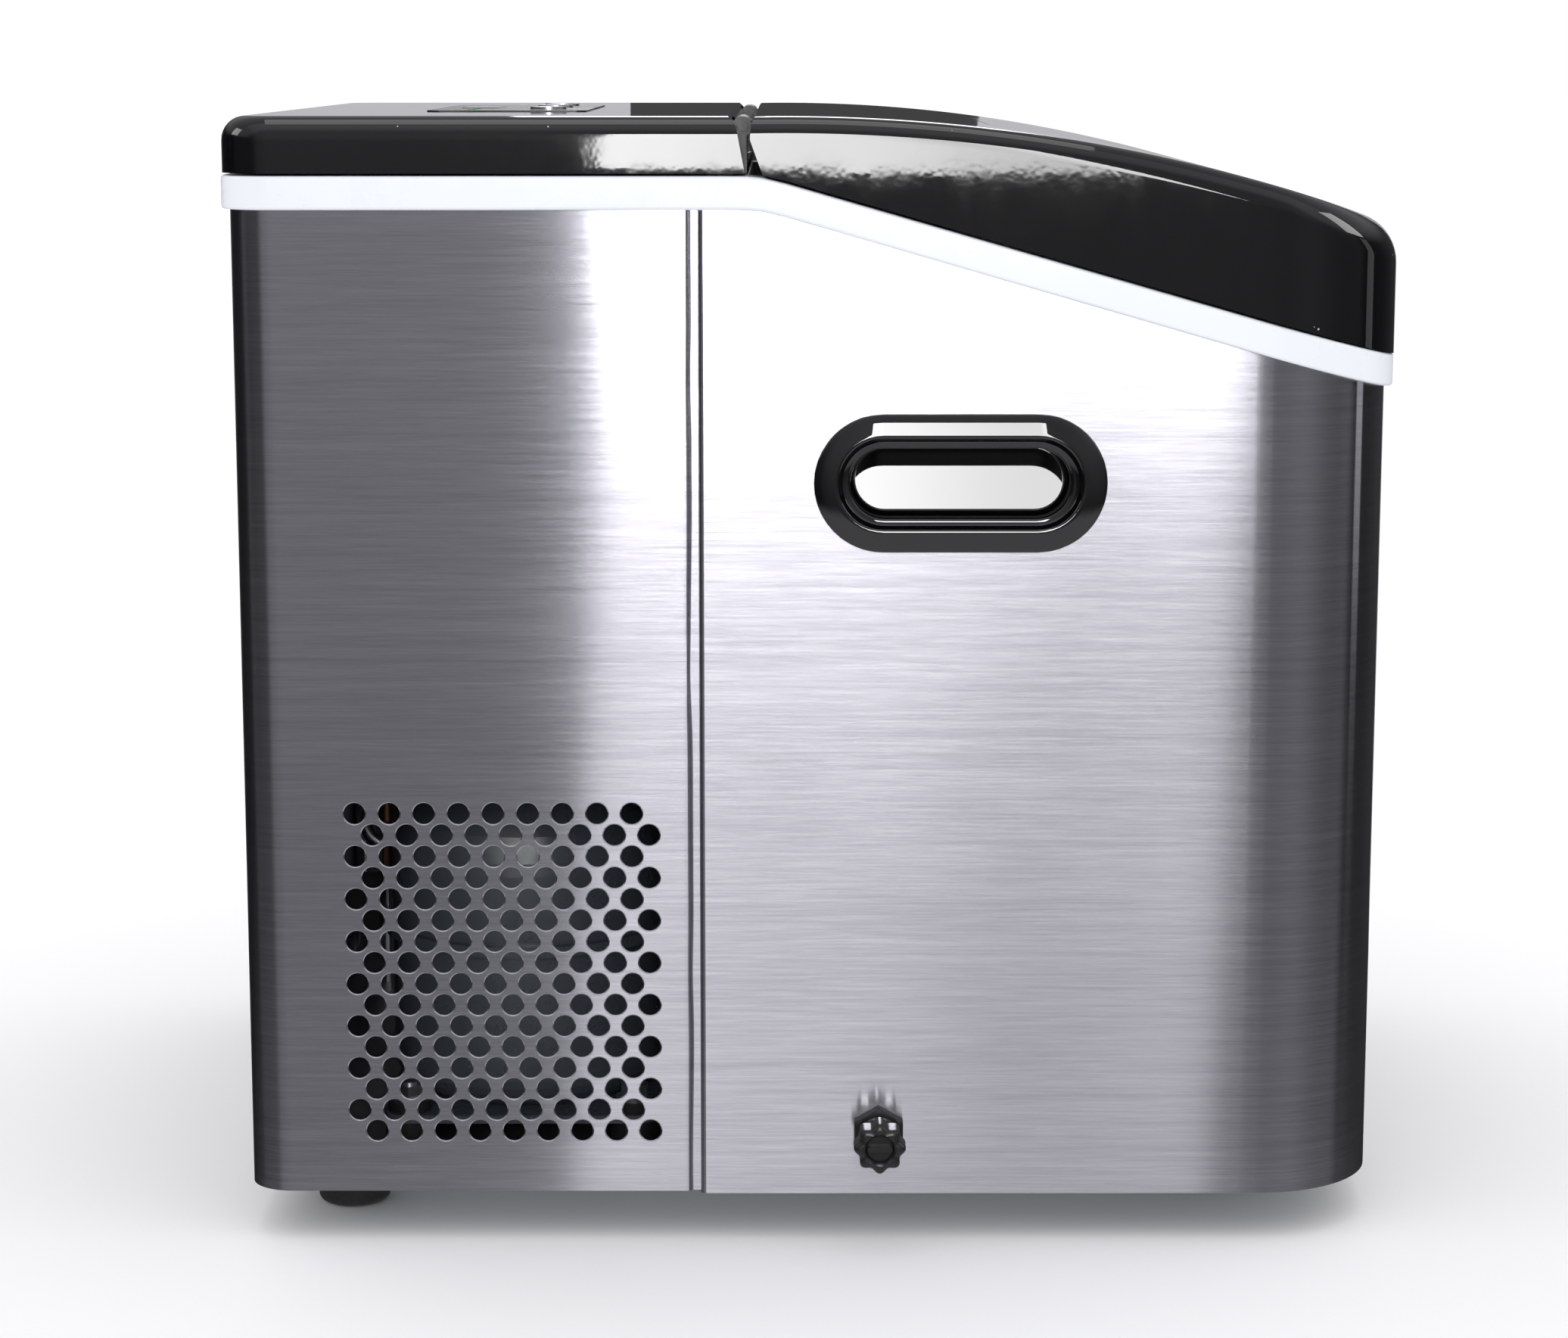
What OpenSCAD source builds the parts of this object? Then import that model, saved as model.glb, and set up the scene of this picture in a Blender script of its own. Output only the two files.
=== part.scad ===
// Countertop ice maker: a steel cabinet with a hinged front lid, an ice bin with a lift-out basket,
// a tilting-tray ice machine over the bin, and a compressor compartment behind.
// The front faces -Y, the rear +Y, and the feet stand on z = 0.

/* [Cabinet] */
// Width over the steel side panels
body_w = 352; // [340:1:364]
// Depth from the steel rear panel to the foremost point of the front panel
body_d = 417; // [410:1:424]
// Height of the flat rear top above the floor
top_z = 405; // [403:1:407]
// Height of the feet
foot_h = 18; // [16:1:20]
// Plan radius of the front corners
front_r = 46; // [40:1:50]
// Plan radius of the rear corners
rear_r = 16; // [12:1:20]
// Radius of the slight bow of the front panel
bow_r = 1900; // [1500:50:2400]

/* [Trim and lid] */
// Height of the white trim's flat top edge
trim_z = 384.5; // [383:0.5:386]
// Depth position where the trim starts to slope down
bend_y = 22; // [20:1:24]
// Slope of the trim towards the front, in degrees
trim_slope = 16; // [15:0.5:16.5]
// Height of the trim band
trim_h = 11.8; // [10:0.2:13]
// Radius of the lid's long top curve
lid_r = 625; // [600:5:660]

/* [Vents] */
// Columns of punched holes on each side
vent_cols = 9; // [6:1:9]
// Rows of punched holes
vent_rows = 16; // [10:1:16]
// Hole diameter
vent_d = 8; // [6:0.5:8]

/* [Ice machine] */
// Freezing fingers in each of the two rows
finger_cols = 6; // [4:1:6]
// Outer radius of the tilting water tray
tray_r = 34; // [33.5:0.5:35]
// Radius of the fan blades
fan_r = 54; // [48:1:55]

/* [Hidden] */
$fn = 48;

// Cabinet frame: half_w and the two Y faces; frame_x centres the whole envelope on x = 0.
half_w = body_w / 2;
rear_y = 209;
front_y = rear_y - body_d;
lid_reach = 3.2;
drain_reach = 22.7;
frame_x = (drain_reach - lid_reach) / 2;
sheet = 1;
panel_z = foot_h;
steel_lap = 5;

// Plan outline: corner centres, and where each front corner meets the bow.
fc_x = half_w - front_r;
bow_y = front_y + bow_r;
fc_y = bow_y - sqrt(pow(bow_r - front_r, 2) - fc_x * fc_x);
bow_a = acos(fc_x / (bow_r - front_r));

// Lid and rear cover
lid_o = 3.2;
cover_o = 2.5;
trim_o = 3;
gap = 0.8;
wall = 3;
apex_y = 14;
lid_corner_r = 18;
lid_front = front_y - lid_o;
lid_cz = top_z - lid_r;
nose_y = lid_front + lid_corner_r;
nose_z = lid_cz + sqrt(pow(lid_r - lid_corner_r, 2) - pow(nose_y - apex_y, 2));
nose_a = atan2(nose_z - lid_cz, nose_y - apex_y);
hinge_y = 28.7;
hinge_z = top_z - 4;
barrel_r = 3.6;
pin_r = 1.75;
hinge_x = [118, 148];

// Window in the lid
win_x = 92;
win_y = [-168, -62];

// Seam between the two steel panels, and the joggle that goes under the front one
seam_y = 44.2;
joggle_y = seam_y + 3.2;
lap_y = 30;

// Vents
vent_px = 12.4;
vent_pz = 7.83;
vent_y = 167.8;
vent_z = 158.2;

// Handle cups and drain
cup_y = -48.3;
cup_z = 277;
cup_back = 153;
drain_y = -20.3;
drain_z = 40.3;

// Bin
tub_x = 148;
tub_y = [-182, 30];
tub_floor = 66;
basket_x = 128;
basket_y = [-172, -54];
basket_z = [150, 286];

// Ice machine axes
tray_y = -8;
tray_z = 345;
tray_x = 100;
cheek_x = [104, 108];
// Refrigerant lines through the rear of the bin: suction, hot gas, liquid
line_x = [-66, 24, 66];
line_z = 357;
shovel_y = 19;
shovel_z = 302;
shovel_l = 42;
stub_r = 4;
fit = 0.06;

// Machine compartment
comp = [-86, 112];
fan_c = [125, 112];

// ---- helpers ----
function arc(cx, cy, r, a0, a1, n) =
    [for (i = [0:n]) let (a = a0 + (a1 - a0) * i / n) [cx + r * cos(a), cy + r * sin(a)]];
function but_last(p) = [for (i = [0:len(p) - 2]) p[i]];
function outline(o) = concat(
    arc(half_w - rear_r, rear_y - rear_r, rear_r + o, 90, 0, 10),
    but_last(arc(fc_x, fc_y, front_r + o, 0, -bow_a, 20)),
    arc(0, bow_y, bow_r + o, -bow_a, bow_a - 180, 12),
    [for (i = [1:20]) let (a = bow_a - 180 - bow_a * i / 20)
        [-fc_x + (front_r + o) * cos(a), fc_y + (front_r + o) * sin(a)]],
    arc(rear_r - half_w, rear_y - rear_r, rear_r + o, 180, 90, 10));
function trim_top(y) = y >= bend_y ? trim_z : trim_z - tan(trim_slope) * (bend_y - y);
function rrect(x0, x1, y0, y1, r, n = 6) = concat(
    arc(x1 - r, y1 - r, r, 90, 0, n), arc(x1 - r, y0 + r, r, 0, -90, n),
    arc(x0 + r, y0 + r, r, 270, 180, n), arc(x0 + r, y1 - r, r, 180, 90, n));
function stadium(w, h, n = 16) = concat(
    arc((w - h) / 2, 0, h / 2, -90, 90, n), arc(-(w - h) / 2, 0, h / 2, 90, 270, n));
function unit(v) = v / norm(v);
function fillet(p, r, n = 5) = [for (i = [0:len(p) - 1])
    each (i == 0 || i == len(p) - 1) ? [p[i]] :
        let (a = unit(p[i - 1] - p[i]), b = unit(p[i + 1] - p[i]))
        [for (k = [0:n]) let (t = k / n)
            (1 - t) * (1 - t) * (p[i] + r * a) + 2 * t * (1 - t) * p[i] + t * t * (p[i] + r * b)]];
function tangents(p) = [for (i = [0:len(p) - 1])
    i == 0 ? unit(p[1] - p[0]) : i == len(p) - 1 ? unit(p[i] - p[i - 1]) :
    unit(unit(p[i] - p[i - 1]) + unit(p[i + 1] - p[i]))];
function square_to(n, t) = unit(n - (n * t) * t);
function carried(t, n0) =
    [for (i = 0, n = square_to(n0, t[0]); i < len(t);
          i = i + 1, n = i < len(t) ? square_to(n, t[i]) : n) n];

module in_frame() { translate([frame_x, 0, 0]) children(); }
module slab(pts, z0, z1) { translate([0, 0, z0]) linear_extrude(z1 - z0) polygon(pts); }
// A side profile of (y, z) points, extruded across the width from x0 to x1
module prism(pts, x0 = -220, x1 = 220) {
    translate([x0, 0, 0]) rotate([90, 0, 90]) linear_extrude(x1 - x0) polygon(pts);
}
module box(x, y, z) { translate([x[0], y[0], z[0]]) cube([x[1] - x[0], y[1] - y[0], z[1] - z[0]]); }
module rod_x(x0, x1, y, z, r) { translate([x0, y, z]) rotate([0, 90, 0]) cylinder(r = r, h = x1 - x0); }
module rod_y(y0, y1, x, z, r) { translate([x, y1, z]) rotate([90, 0, 0]) cylinder(r = r, h = y1 - y0); }
module rod_z(z0, z1, x, y, r) { translate([x, y, z0]) cylinder(r = r, h = z1 - z0); }
module both_sides() { children(); mirror([1, 0, 0]) children(); }
// A round tube of outer radius r that follows a filleted path
module tube(path, bend, r, sides = 10) {
    p = fillet(path, bend);
    t = tangents(p);
    n = carried(t, [0.31, 0.2, 0.93]);
    pts = [for (i = [0:len(p) - 1]) for (k = [0:sides - 1]) let (a = 360 * k / sides)
        p[i] + r * (cos(a) * n[i] + sin(a) * cross(t[i], n[i]))];
    last = (len(p) - 1) * sides;
    polyhedron(points = pts, faces = concat(
        [[for (k = [0:sides - 1]) k]],
        [for (i = [0:len(p) - 2]) for (k = [0:sides - 1]) let (m = (k + 1) % sides)
            [i * sides + k, (i + 1) * sides + k, (i + 1) * sides + m, i * sides + m]],
        [[for (k = [sides - 1:-1:0]) last + k]]));
}

// ---- cabinet ----
module band(o_out, o_in, pts) {
    intersection() {
        difference() {
            slab(outline(o_out), 0, 420);
            slab(outline(o_in), -1, 421);
        }
        prism(pts);
    }
}
function side_profile(y0, y1, bottom, drop) = y1 <= bend_y
    ? [[y0, bottom], [y1, bottom], [y1, trim_top(y1) - drop], [y0, trim_top(y0) - drop]]
    : y0 >= bend_y ? [[y0, bottom], [y1, bottom], [y1, trim_z - drop], [y0, trim_z - drop]]
    : [[y0, bottom], [y1, bottom], [y1, trim_z - drop], [bend_y, trim_z - drop], [y0, trim_top(y0) - drop]];

foot_xy = [[-128, 176], [128, 176], [-101, -150], [101, -150]];
module base_pan() {
    color("gainsboro") in_frame() difference() {
        union() {
            slab(outline(-2.4), panel_z + 1, panel_z + 2.5);
            difference() {
                slab(outline(-2.4), panel_z + 1, panel_z + 10);
                slab(outline(-3.6), panel_z, panel_z + 11);
            }
        }
        for (p = foot_xy) rod_z(panel_z, panel_z + 3, p[0], p[1], 2.7);
        for (p = grommet_xy) rod_z(panel_z, panel_z + 3, p[0], p[1], 3);
        for (x = [-20:12:52]) box([x, x + 5], [90, 150], [panel_z, panel_z + 3]);
        for (p = rear_screw_xz) rod_y(200, 212, p[0], p[1], 1.95);
    }
}
module feet() {
    color("black") in_frame() for (p = foot_xy) translate([p[0], p[1], 0]) rotate_extrude() polygon(concat(
        [[2.8, 12], [2.8, foot_h + 1], [14.5, foot_h + 1], [14.5, foot_h - 2]],
        arc(10.4, 3, 3, -5, -90, 6), [[7, 0], [7, 12]]));
}
module foot_screws() {
    color("silver") in_frame() for (p = foot_xy) {
        rod_z(8.6, 12, p[0], p[1], 5.5);
        rod_z(12, panel_z + 9, p[0], p[1], 2.5);
    }
}
module rear_panel() {
    color("silver") in_frame() difference() {
        union() {
            band(0, -sheet, side_profile(joggle_y, 230, panel_z, steel_lap));
            band(0, -2.2 * sheet, side_profile(joggle_y, joggle_y + 2, panel_z, steel_lap));
            band(-1.2 * sheet, -2.2 * sheet, side_profile(lap_y, joggle_y, panel_z, steel_lap));
        }
        for (r = [0:vent_rows - 1]) for (c = [0:vent_cols - 1])
            rod_x(-200, 200, vent_y - vent_px * (c + (r % 2) / 2), vent_z - vent_pz * r, vent_d / 2);
        box([inlet_x - 14, inlet_x + 14], [200, 215], [inlet_z - 10.5, inlet_z + 10.5]);
        for (p = rear_screw_xz) rod_y(200, 215, p[0], p[1], 2.1);
    }
}
module front_panel() {
    color("silver") in_frame() difference() {
        band(0, -sheet, side_profile(-230, seam_y, panel_z - 0.9, steel_lap));
        translate([0, cup_y, cup_z]) rotate([90, 0, 90]) linear_extrude(400, center = true)
            polygon(stadium(86, 33));
        rod_x(-half_w - 5, -half_w + 5, drain_y, drain_z, 6.6);
    }
}
inlet_x = 96;
inlet_z = 62;
rear_screw_xz = [for (x = [-120, 0, 120]) for (z = [26, 368]) [x, z]];
module panel_screws() {
    color("gray") in_frame() for (p = rear_screw_xz) {
        rod_y(rear_y + 0.05, rear_y + 2.2, p[0], p[1], 3.6);
        rod_y(rear_y - 8, rear_y + 0.05, p[0], p[1], 1.9);
    }
}
module trim_frame() {
    color("white") in_frame() difference() {
        union() {
            box([-165, 165], [32, 45.5], [trim_z - 4, trim_z]);
            intersection() {
                difference() {
                    slab(outline(trim_o), 200, 420);
                    slab(outline(-16), 199, 421);
                }
                prism(concat(
                    [[-230, trim_top(-230)], [bend_y, trim_z], [230, trim_z]],
                    [[230, trim_z - 4], [bend_y, trim_z - 4], [-230, trim_top(-230) - 4]]));
            }
            intersection() {
                difference() {
                    slab(outline(trim_o), 200, 420);
                    slab(outline(0.25), 199, 421);
                }
                prism(concat(
                    [[-230, trim_top(-230)], [bend_y, trim_z], [230, trim_z]],
                    [[230, trim_z - trim_h], [bend_y, trim_z - trim_h], [-230, trim_top(-230) - trim_h]]));
            }
        }
        for (x = bracket_screw_x) rod_z(trim_z - 5, trim_z + 1, x, 40, 1.6);
    }
}

// ---- top ----
panel_x = 74;
panel_y = [88, 148];
button_x = [-44, 0, 44];
button_y = 104;
function cover_profile(i) = concat(
    [[27.5 + i, trim_z + gap - (i > 0 ? 1 : 0)], [30.6 + i, top_z - 4], [33.6 + i / 2, top_z - i]],
    arc(rear_y + cover_o - 9, top_z - 9, 9 - i, 90, 0, 8),
    [[rear_y + cover_o - i, trim_z + gap - (i > 0 ? 1 : 0)]]);
module rear_cover() {
    color([0.03, 0.03, 0.035]) in_frame() difference() {
        union() {
            difference() {
                intersection() {
                    slab(outline(cover_o), 380, 410);
                    prism(cover_profile(0));
                }
                intersection() {
                    slab(outline(cover_o - wall), 379, 410);
                    prism(cover_profile(wall));
                }
            }
            box([-panel_x - 4, panel_x + 4], [panel_y[0] - 4, panel_y[1] + 4],
                [top_z - 5, top_z - wall + 0.5]);
        }
        box([-panel_x - 0.2, panel_x + 0.2], [panel_y[0] - 0.2, panel_y[1] + 0.2],
            [top_z - 1.8, top_z + 1]);
        for (x = button_x) rod_z(top_z - 8, top_z + 1, x, button_y, 9.2);
        box([-24, 24], [124, 140], [top_z - 8, top_z + 1]);
        both_sides() box([hinge_x[0] - 6, hinge_x[1] + 6], [24, hinge_y + barrel_r + 1.2], [380, hinge_z]);
        both_sides() rod_x(hinge_x[0] - 6, hinge_x[1] + 6, hinge_y, hinge_z, barrel_r + 1.2);
    }
}
module control_panel() {
    color([0.08, 0.08, 0.09]) in_frame() difference() {
        slab(rrect(-panel_x, panel_x, panel_y[0], panel_y[1], 5), top_z - 1.8, top_z + 0.4);
        for (x = button_x) rod_z(top_z - 3, top_z + 2, x, button_y, 7.2);
        box([-20.1, 20.1], [124.9, 139.1], [top_z - 3, top_z + 2]);
        for (x = [-60:12:-36]) rod_z(top_z - 3, top_z + 2, x, 132, 1.6);
    }
}
module display_lens() {
    color([0.02, 0.03, 0.05]) in_frame() box([-20, 20], [125, 139], [top_z - 1.7, top_z + 0.6]);
}
module indicator_lenses() {
    color("lime") in_frame() for (x = [-60:12:-36]) rod_z(top_z - 1.7, top_z + 0.6, x, 132, 1.5);
}
board_z = top_z - 12;
module control_board() {
    color("green") in_frame() {
        difference() {
            box([-70, 70], [panel_y[0] + 2, panel_y[1] - 2], [board_z, board_z + 1.6]);
            for (x = [-64, 64]) rod_z(board_z - 1, board_z + 3, x, 118, 2.2);
        }
        for (x = button_x) box([x - 3, x + 3], [button_y - 3, button_y + 3], [board_z + 1.6, board_z + 5]);
        for (x = [-64, 64]) difference() {
            rod_z(board_z + 1.6, top_z - 5, x, 118, 3.4);
            rod_z(board_z + 1, top_z - 7, x, 118, 1.2);
        }
        box([-19, 19], [126, 138], [board_z + 1.6, top_z - 6]);
    }
}
module button(x) {
    color("dimgray") in_frame() difference() {
        union() {
            rod_z(top_z - 1.8, top_z + 1.4, x, button_y, 6.9);
            rod_z(top_z - 3.4, top_z - 1.9, x, button_y, 8.4);
            rod_z(top_z - 2.2, top_z - 1.5, x, button_y, 6.9);
            rod_z(board_z + 6.4, top_z - 3.2, x, button_y, 2.2);
        }
        translate([x, button_y, top_z + 21.2]) sphere(r = 20.4, $fn = 96);
    }
}
module power_button() { button(button_x[0]); }
module size_button() { button(button_x[1]); }
module clean_button() { button(button_x[2]); }

function lid_curve(r, y0, y1, n) = [for (i = [0:n]) let (y = y0 + (y1 - y0) * i / n)
    [y, lid_cz + sqrt(r * r - pow(y - apex_y, 2))]];
function lid_profile(i) = concat(
    [[21.4 - i, trim_top(21.4) + gap - (i > 0 ? 6 : 0)], [26 - i, hinge_z - 1 - i]],
    lid_curve(lid_r - i, 23.6 - i, apex_y + (lid_r - i) * cos(nose_a), 26),
    [for (k = [1:10]) let (a = nose_a + (180 - nose_a) * k / 10)
        [nose_y + (lid_corner_r - i) * cos(a), nose_z + (lid_corner_r - i) * sin(a)]],
    [[lid_front + i, trim_top(lid_front) + gap - (i > 0 ? 6 : 0)]]);
module arc_sheet(r1, r0, y0, y1) {
    prism(concat(lid_curve(r1, y0, y1, 16), lid_curve(r0, y1, y0, 16)));
}
module lid() {
    color([0.03, 0.03, 0.035]) in_frame() difference() {
        union() {
            difference() {
                union() {
                    difference() {
                        intersection() {
                            slab(outline(lid_o), 280, 410);
                            prism(lid_profile(0));
                        }
                        intersection() {
                            slab(outline(lid_o - wall), 270, 410);
                            prism(lid_profile(wall));
                        }
                    }
                    intersection() {
                        slab(rrect(-win_x - 6, win_x + 6, win_y[0] - 6, win_y[1] + 6, 12), 300, 410);
                        arc_sheet(lid_r - wall + 0.5, lid_r - wall - 2.6, win_y[0] - 6, win_y[1] + 6);
                    }
                }
                slab(rrect(-win_x + 5, win_x - 5, win_y[0] + 5, win_y[1] - 5, 6), 300, 410);
                intersection() {
                    slab(rrect(-win_x - 0.2, win_x + 0.2, win_y[0] - 0.2, win_y[1] + 0.2, 8), 300, 412);
                    arc_sheet(lid_r + 4, lid_r - wall, win_y[0] - 3, win_y[1] + 3);
                }
                both_sides() rod_x(hinge_x[0] - 5.5, hinge_x[1] + 5.5, hinge_y, hinge_z, barrel_r + 0.8);
            }
            both_sides() {
                rod_x(hinge_x[0], hinge_x[1], hinge_y, hinge_z, barrel_r);
                box(hinge_x, [20.5, hinge_y - 0.5], [hinge_z - barrel_r, hinge_z]);
            }
        }
        both_sides() rod_x(hinge_x[0] - 1, hinge_x[1] + 1, hinge_y, hinge_z, pin_r + fit);
    }
}
module lid_window() {
    color([0.25, 0.25, 0.28, 0.5]) in_frame() intersection() {
        slab(rrect(-win_x, win_x, win_y[0], win_y[1], 8), 300, 410);
        arc_sheet(lid_r, lid_r - wall + 0.1, win_y[0] - 3, win_y[1] + 3);
    }
}
module lid_liner() {
    hole = [win_x - 2, win_y[0] + 2, win_y[1] - 2];
    color("whitesmoke") in_frame() difference() {
        union() {
            intersection() {
                slab(outline(lid_o - wall - 0.3), 280, 410);
                arc_sheet(lid_r - 12, lid_r - 14.2, lid_front + 4, 18);
            }
            intersection() {
                slab(rrect(-hole[0] - 2.2, hole[0] + 2.2, hole[1] - 2.2, hole[2] + 2.2, 8), 300, 410);
                arc_sheet(lid_r - wall - 2.8, lid_r - 14, win_y[0] - 3, win_y[1] + 3);
            }
        }
        slab(rrect(-hole[0], hole[0], hole[1], hole[2], 6), 280, 412);
    }
}
bumper_xy = [[-120, -196], [120, -196]];
module lid_bumpers() {
    color("dimgray") in_frame() for (p = bumper_xy) translate([p[0], p[1], 0]) {
        translate([0, 0, trim_top(-196) + 1.7]) cylinder(r = 5, h = 3);
        translate([0, 0, trim_top(-196) + 4]) cylinder(r = 3, h = 26.3);
    }
}
bracket_screw_x = [-142, -124, 124, 142];
ear_x = [[hinge_x[0] - 4.6, hinge_x[0] - 0.4], [hinge_x[1] + 0.4, hinge_x[1] + 4.6]];
module hinge_brackets() {
    color("white") in_frame() both_sides() difference() {
        union() {
            for (e = ear_x) {
                rod_x(e[0], e[1], hinge_y, hinge_z, barrel_r);
                box(e, [27.2, hinge_y + barrel_r], [trim_z + 0.05, hinge_z]);
            }
            box([ear_x[0][0], ear_x[1][1]], [27.2, 44.5], [trim_z + 0.05, trim_z + 2.5]);
        }
        for (e = ear_x) rod_x(e[0] - 1, e[1] + 1, hinge_y, hinge_z, pin_r + 0.02);
        for (x = [124, 142]) rod_z(trim_z - 1, trim_z + 4, x, 40, 1.6);
    }
}
module hinge_pins() {
    color("silver") in_frame() both_sides()
        rod_x(ear_x[0][0] - 0.6, ear_x[1][1] + 0.6, hinge_y, hinge_z, pin_r);
}

// ---- side fittings ----
module cup() {
    translate([0, cup_y, cup_z]) rotate([90, 0, 90]) difference() {
        union() {
            translate([0, 0, -half_w - 2.2]) linear_extrude(2.15) polygon(stadium(103.6, 49));
            translate([0, 0, -half_w - 3.4]) linear_extrude(2) polygon(stadium(94, 40));
            translate([0, 0, -half_w - 0.5]) linear_extrude(half_w - cup_back + 0.5)
            polygon(stadium(84, 31));
        }
        translate([0, 0, -half_w - 5]) linear_extrude(half_w + 5 - cup_back - 2) polygon(stadium(78, 25));
    }
}
module left_handle_cup() { color([0.03, 0.03, 0.03]) in_frame() cup(); }
module right_handle_cup() { color([0.03, 0.03, 0.03]) in_frame() mirror([1, 0, 0]) cup(); }
spout_end = -half_w - 17.5;
module drain_spout() {
    color("black") in_frame() difference() {
        union() {
            rod_x(spout_end, -150, drain_y, drain_z, 6);
            rod_x(-half_w + sheet + 0.1, -half_w + 3.6, drain_y, drain_z, 10);
        }
        rod_x(spout_end - 1, -149, drain_y, drain_z, 4);
    }
}
module drain_nut() {
    color("black") in_frame() difference() {
        translate([-half_w - 6, drain_y, drain_z]) rotate([0, 90, 0])
            cylinder(d = 20.3, h = 5.95, $fn = 6);
        rod_x(-half_w - 7, -half_w + 1, drain_y, drain_z, 6.05);
    }
}
module drain_seal() {
    color("dimgray") in_frame() rod_x(spout_end - 1.6, spout_end - 0.02, drain_y, drain_z, 5.9);
}
module drain_cap() {
    x0 = -half_w - drain_reach;
    color("black") in_frame() difference() {
        union() {
            translate([x0, drain_y, drain_z]) rotate([0, 90, 0]) linear_extrude(11.5)
                polygon(
            [for (i = [0:95]) let (a = 360 * i / 96) (8.7 + 0.65 * cos(8 * a)) * [cos(a), sin(a)]]);
            rod_x(x0 + 11, -half_w - 7.4, drain_y, drain_z, 7.8);
        }
        rod_x(spout_end - 1.65, -half_w, drain_y, drain_z, 6 + fit);
        rod_x(x0 - 1, x0 + 1.4, drain_y, drain_z, 4.6);
    }
}
module drain_hose() {
    color("ivory") in_frame() difference() {
        tube([[-164, drain_y, drain_z], [-104, drain_y, drain_z],
        [-104, drain_y, tub_floor - 2]], 12, 8, 12);
        rod_x(-165, -149.9, drain_y, drain_z, 6.05);
        rod_z(tub_floor - 10.1, tub_floor, -104, drain_y, 6.05);
    }
}

// ---- bin ----
module tub_outer(o) {
    slab(rrect(-tub_x - o, tub_x + o, tub_y[0] - o, tub_y[1] + o, 22 + o, 8), tub_floor - o, 400);
}
module water_tub() {
    color("white") in_frame() difference() {
        union() {
            intersection() {
                union() {
                    tub_outer(0);
                    slab(rrect(-165, 165, tub_y[0] - 13, tub_y[1] + 4, 30, 8), 200, 400);
                }
                union() {
                    intersection() {
                        tub_outer(0);
                        prism(side_profile(-230, 60, tub_floor, 4.2));
                    }
                    prism([[-230, trim_top(-230) - 4.2], [bend_y, trim_z - 4.2], [60, trim_z - 4.2],
                           [60, trim_z - 6.6], [bend_y, trim_z - 6.6], [-230, trim_top(-230) - 6.6]]);
                }
            }
            rod_z(tub_floor - 10, tub_floor + 1, -104, drain_y, 6);
        }
        difference() {
            slab(rrect(2.5 - tub_x, tub_x - 2.5, tub_y[0] + 2.5, tub_y[1] - 2.5, 19.5, 8),
                 tub_floor + 2.5, 401);
            both_sides() box([tub_x - 16, tub_x], [basket_y[0], basket_y[1]], [276, basket_z[1] - 2.7]);
        }
        rod_z(tub_floor - 20, tub_floor + 5, -104, drain_y, 4);
        both_sides() rod_x(tub_x - 4, tub_x + 2, shovel_y - 3, 372, 3);
        for (x = line_x) box([x - 7, x + 7], [tub_y[1] - 6, tub_y[1] + 2], [line_z - 7, line_z + 7]);
        for (x = [-96, 96]) rod_y(tub_y[1] - 6, tub_y[1] + 2, x, 358, 1.65);
    }
}
module foam_jacket() {
    color("lightyellow") in_frame() difference() {
        intersection() {
            slab(outline(-4), 63, 400);
            prism(side_profile(-230, 44, 63, 12));
        }
        tub_outer(1);
        both_sides() translate([0, cup_y, cup_z]) rotate([90, 0, 90]) translate([0, 0, cup_back - 3])
            linear_extrude(40) polygon(stadium(90, 36));
        box([-90, 90], [25, 50], [line_z - 9, 400]);
        rod_x(-172, -100, drain_y, drain_z, 9);
        rod_z(60, tub_floor, -104, drain_y, 9);
        for (x = [-96, 96]) rod_y(28, 38, x, 358, 3);
    }
}
module divider_plate() {
    color("gainsboro") in_frame() difference() {
        box([-168, 168], [46, 47.2], [panel_z + 3, trim_z - 9]);
        box([-90, 90], [40, 50], [line_z - 9, 400]);
        for (x = [-150, 150]) for (z = [60, 300]) rod_y(40, 50, x, z, 2.1);
    }
}
module ice_basket() {
    floor_z = basket_z[0];
    color([0.85, 0.9, 0.95]) in_frame() difference() {
        union() {
            slab(rrect(-basket_x, basket_x, basket_y[0], basket_y[1], 14, 6), floor_z, basket_z[1]);
            slab(rrect(-basket_x - 13, basket_x + 13, basket_y[0] + 4, basket_y[1] - 4, 12, 6),
                 basket_z[1] - 2.5, basket_z[1]);
        }
        slab(rrect(-basket_x + 2, basket_x - 2, basket_y[0] + 2, basket_y[1] - 2, 12, 6), floor_z + 2, 320);
        for (x = [-108:18:108])
            box([x - 3, x + 3], [basket_y[0] - 5, basket_y[1] + 5], [floor_z + 14, floor_z + 84]);
        for (y = [basket_y[0] + 23:18:basket_y[1] - 20])
            box([-basket_x - 5, basket_x + 5], [y - 3, y + 3], [floor_z + 14, floor_z + 84]);
        for (x = [-99:22:99])
            box([x - 3, x + 3], [basket_y[0] + 18, basket_y[1] - 18], [floor_z - 1, floor_z + 4]);
        box([-104, 104], [basket_y[1] - 6, basket_y[1] + 6], [261, 300]);
        translate([0, basket_y[0] - 6, 0]) rotate([90, 0, 180]) linear_extrude(12)
            translate([0, 262]) polygon(stadium(80, 20, 8));
    }
}

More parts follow.
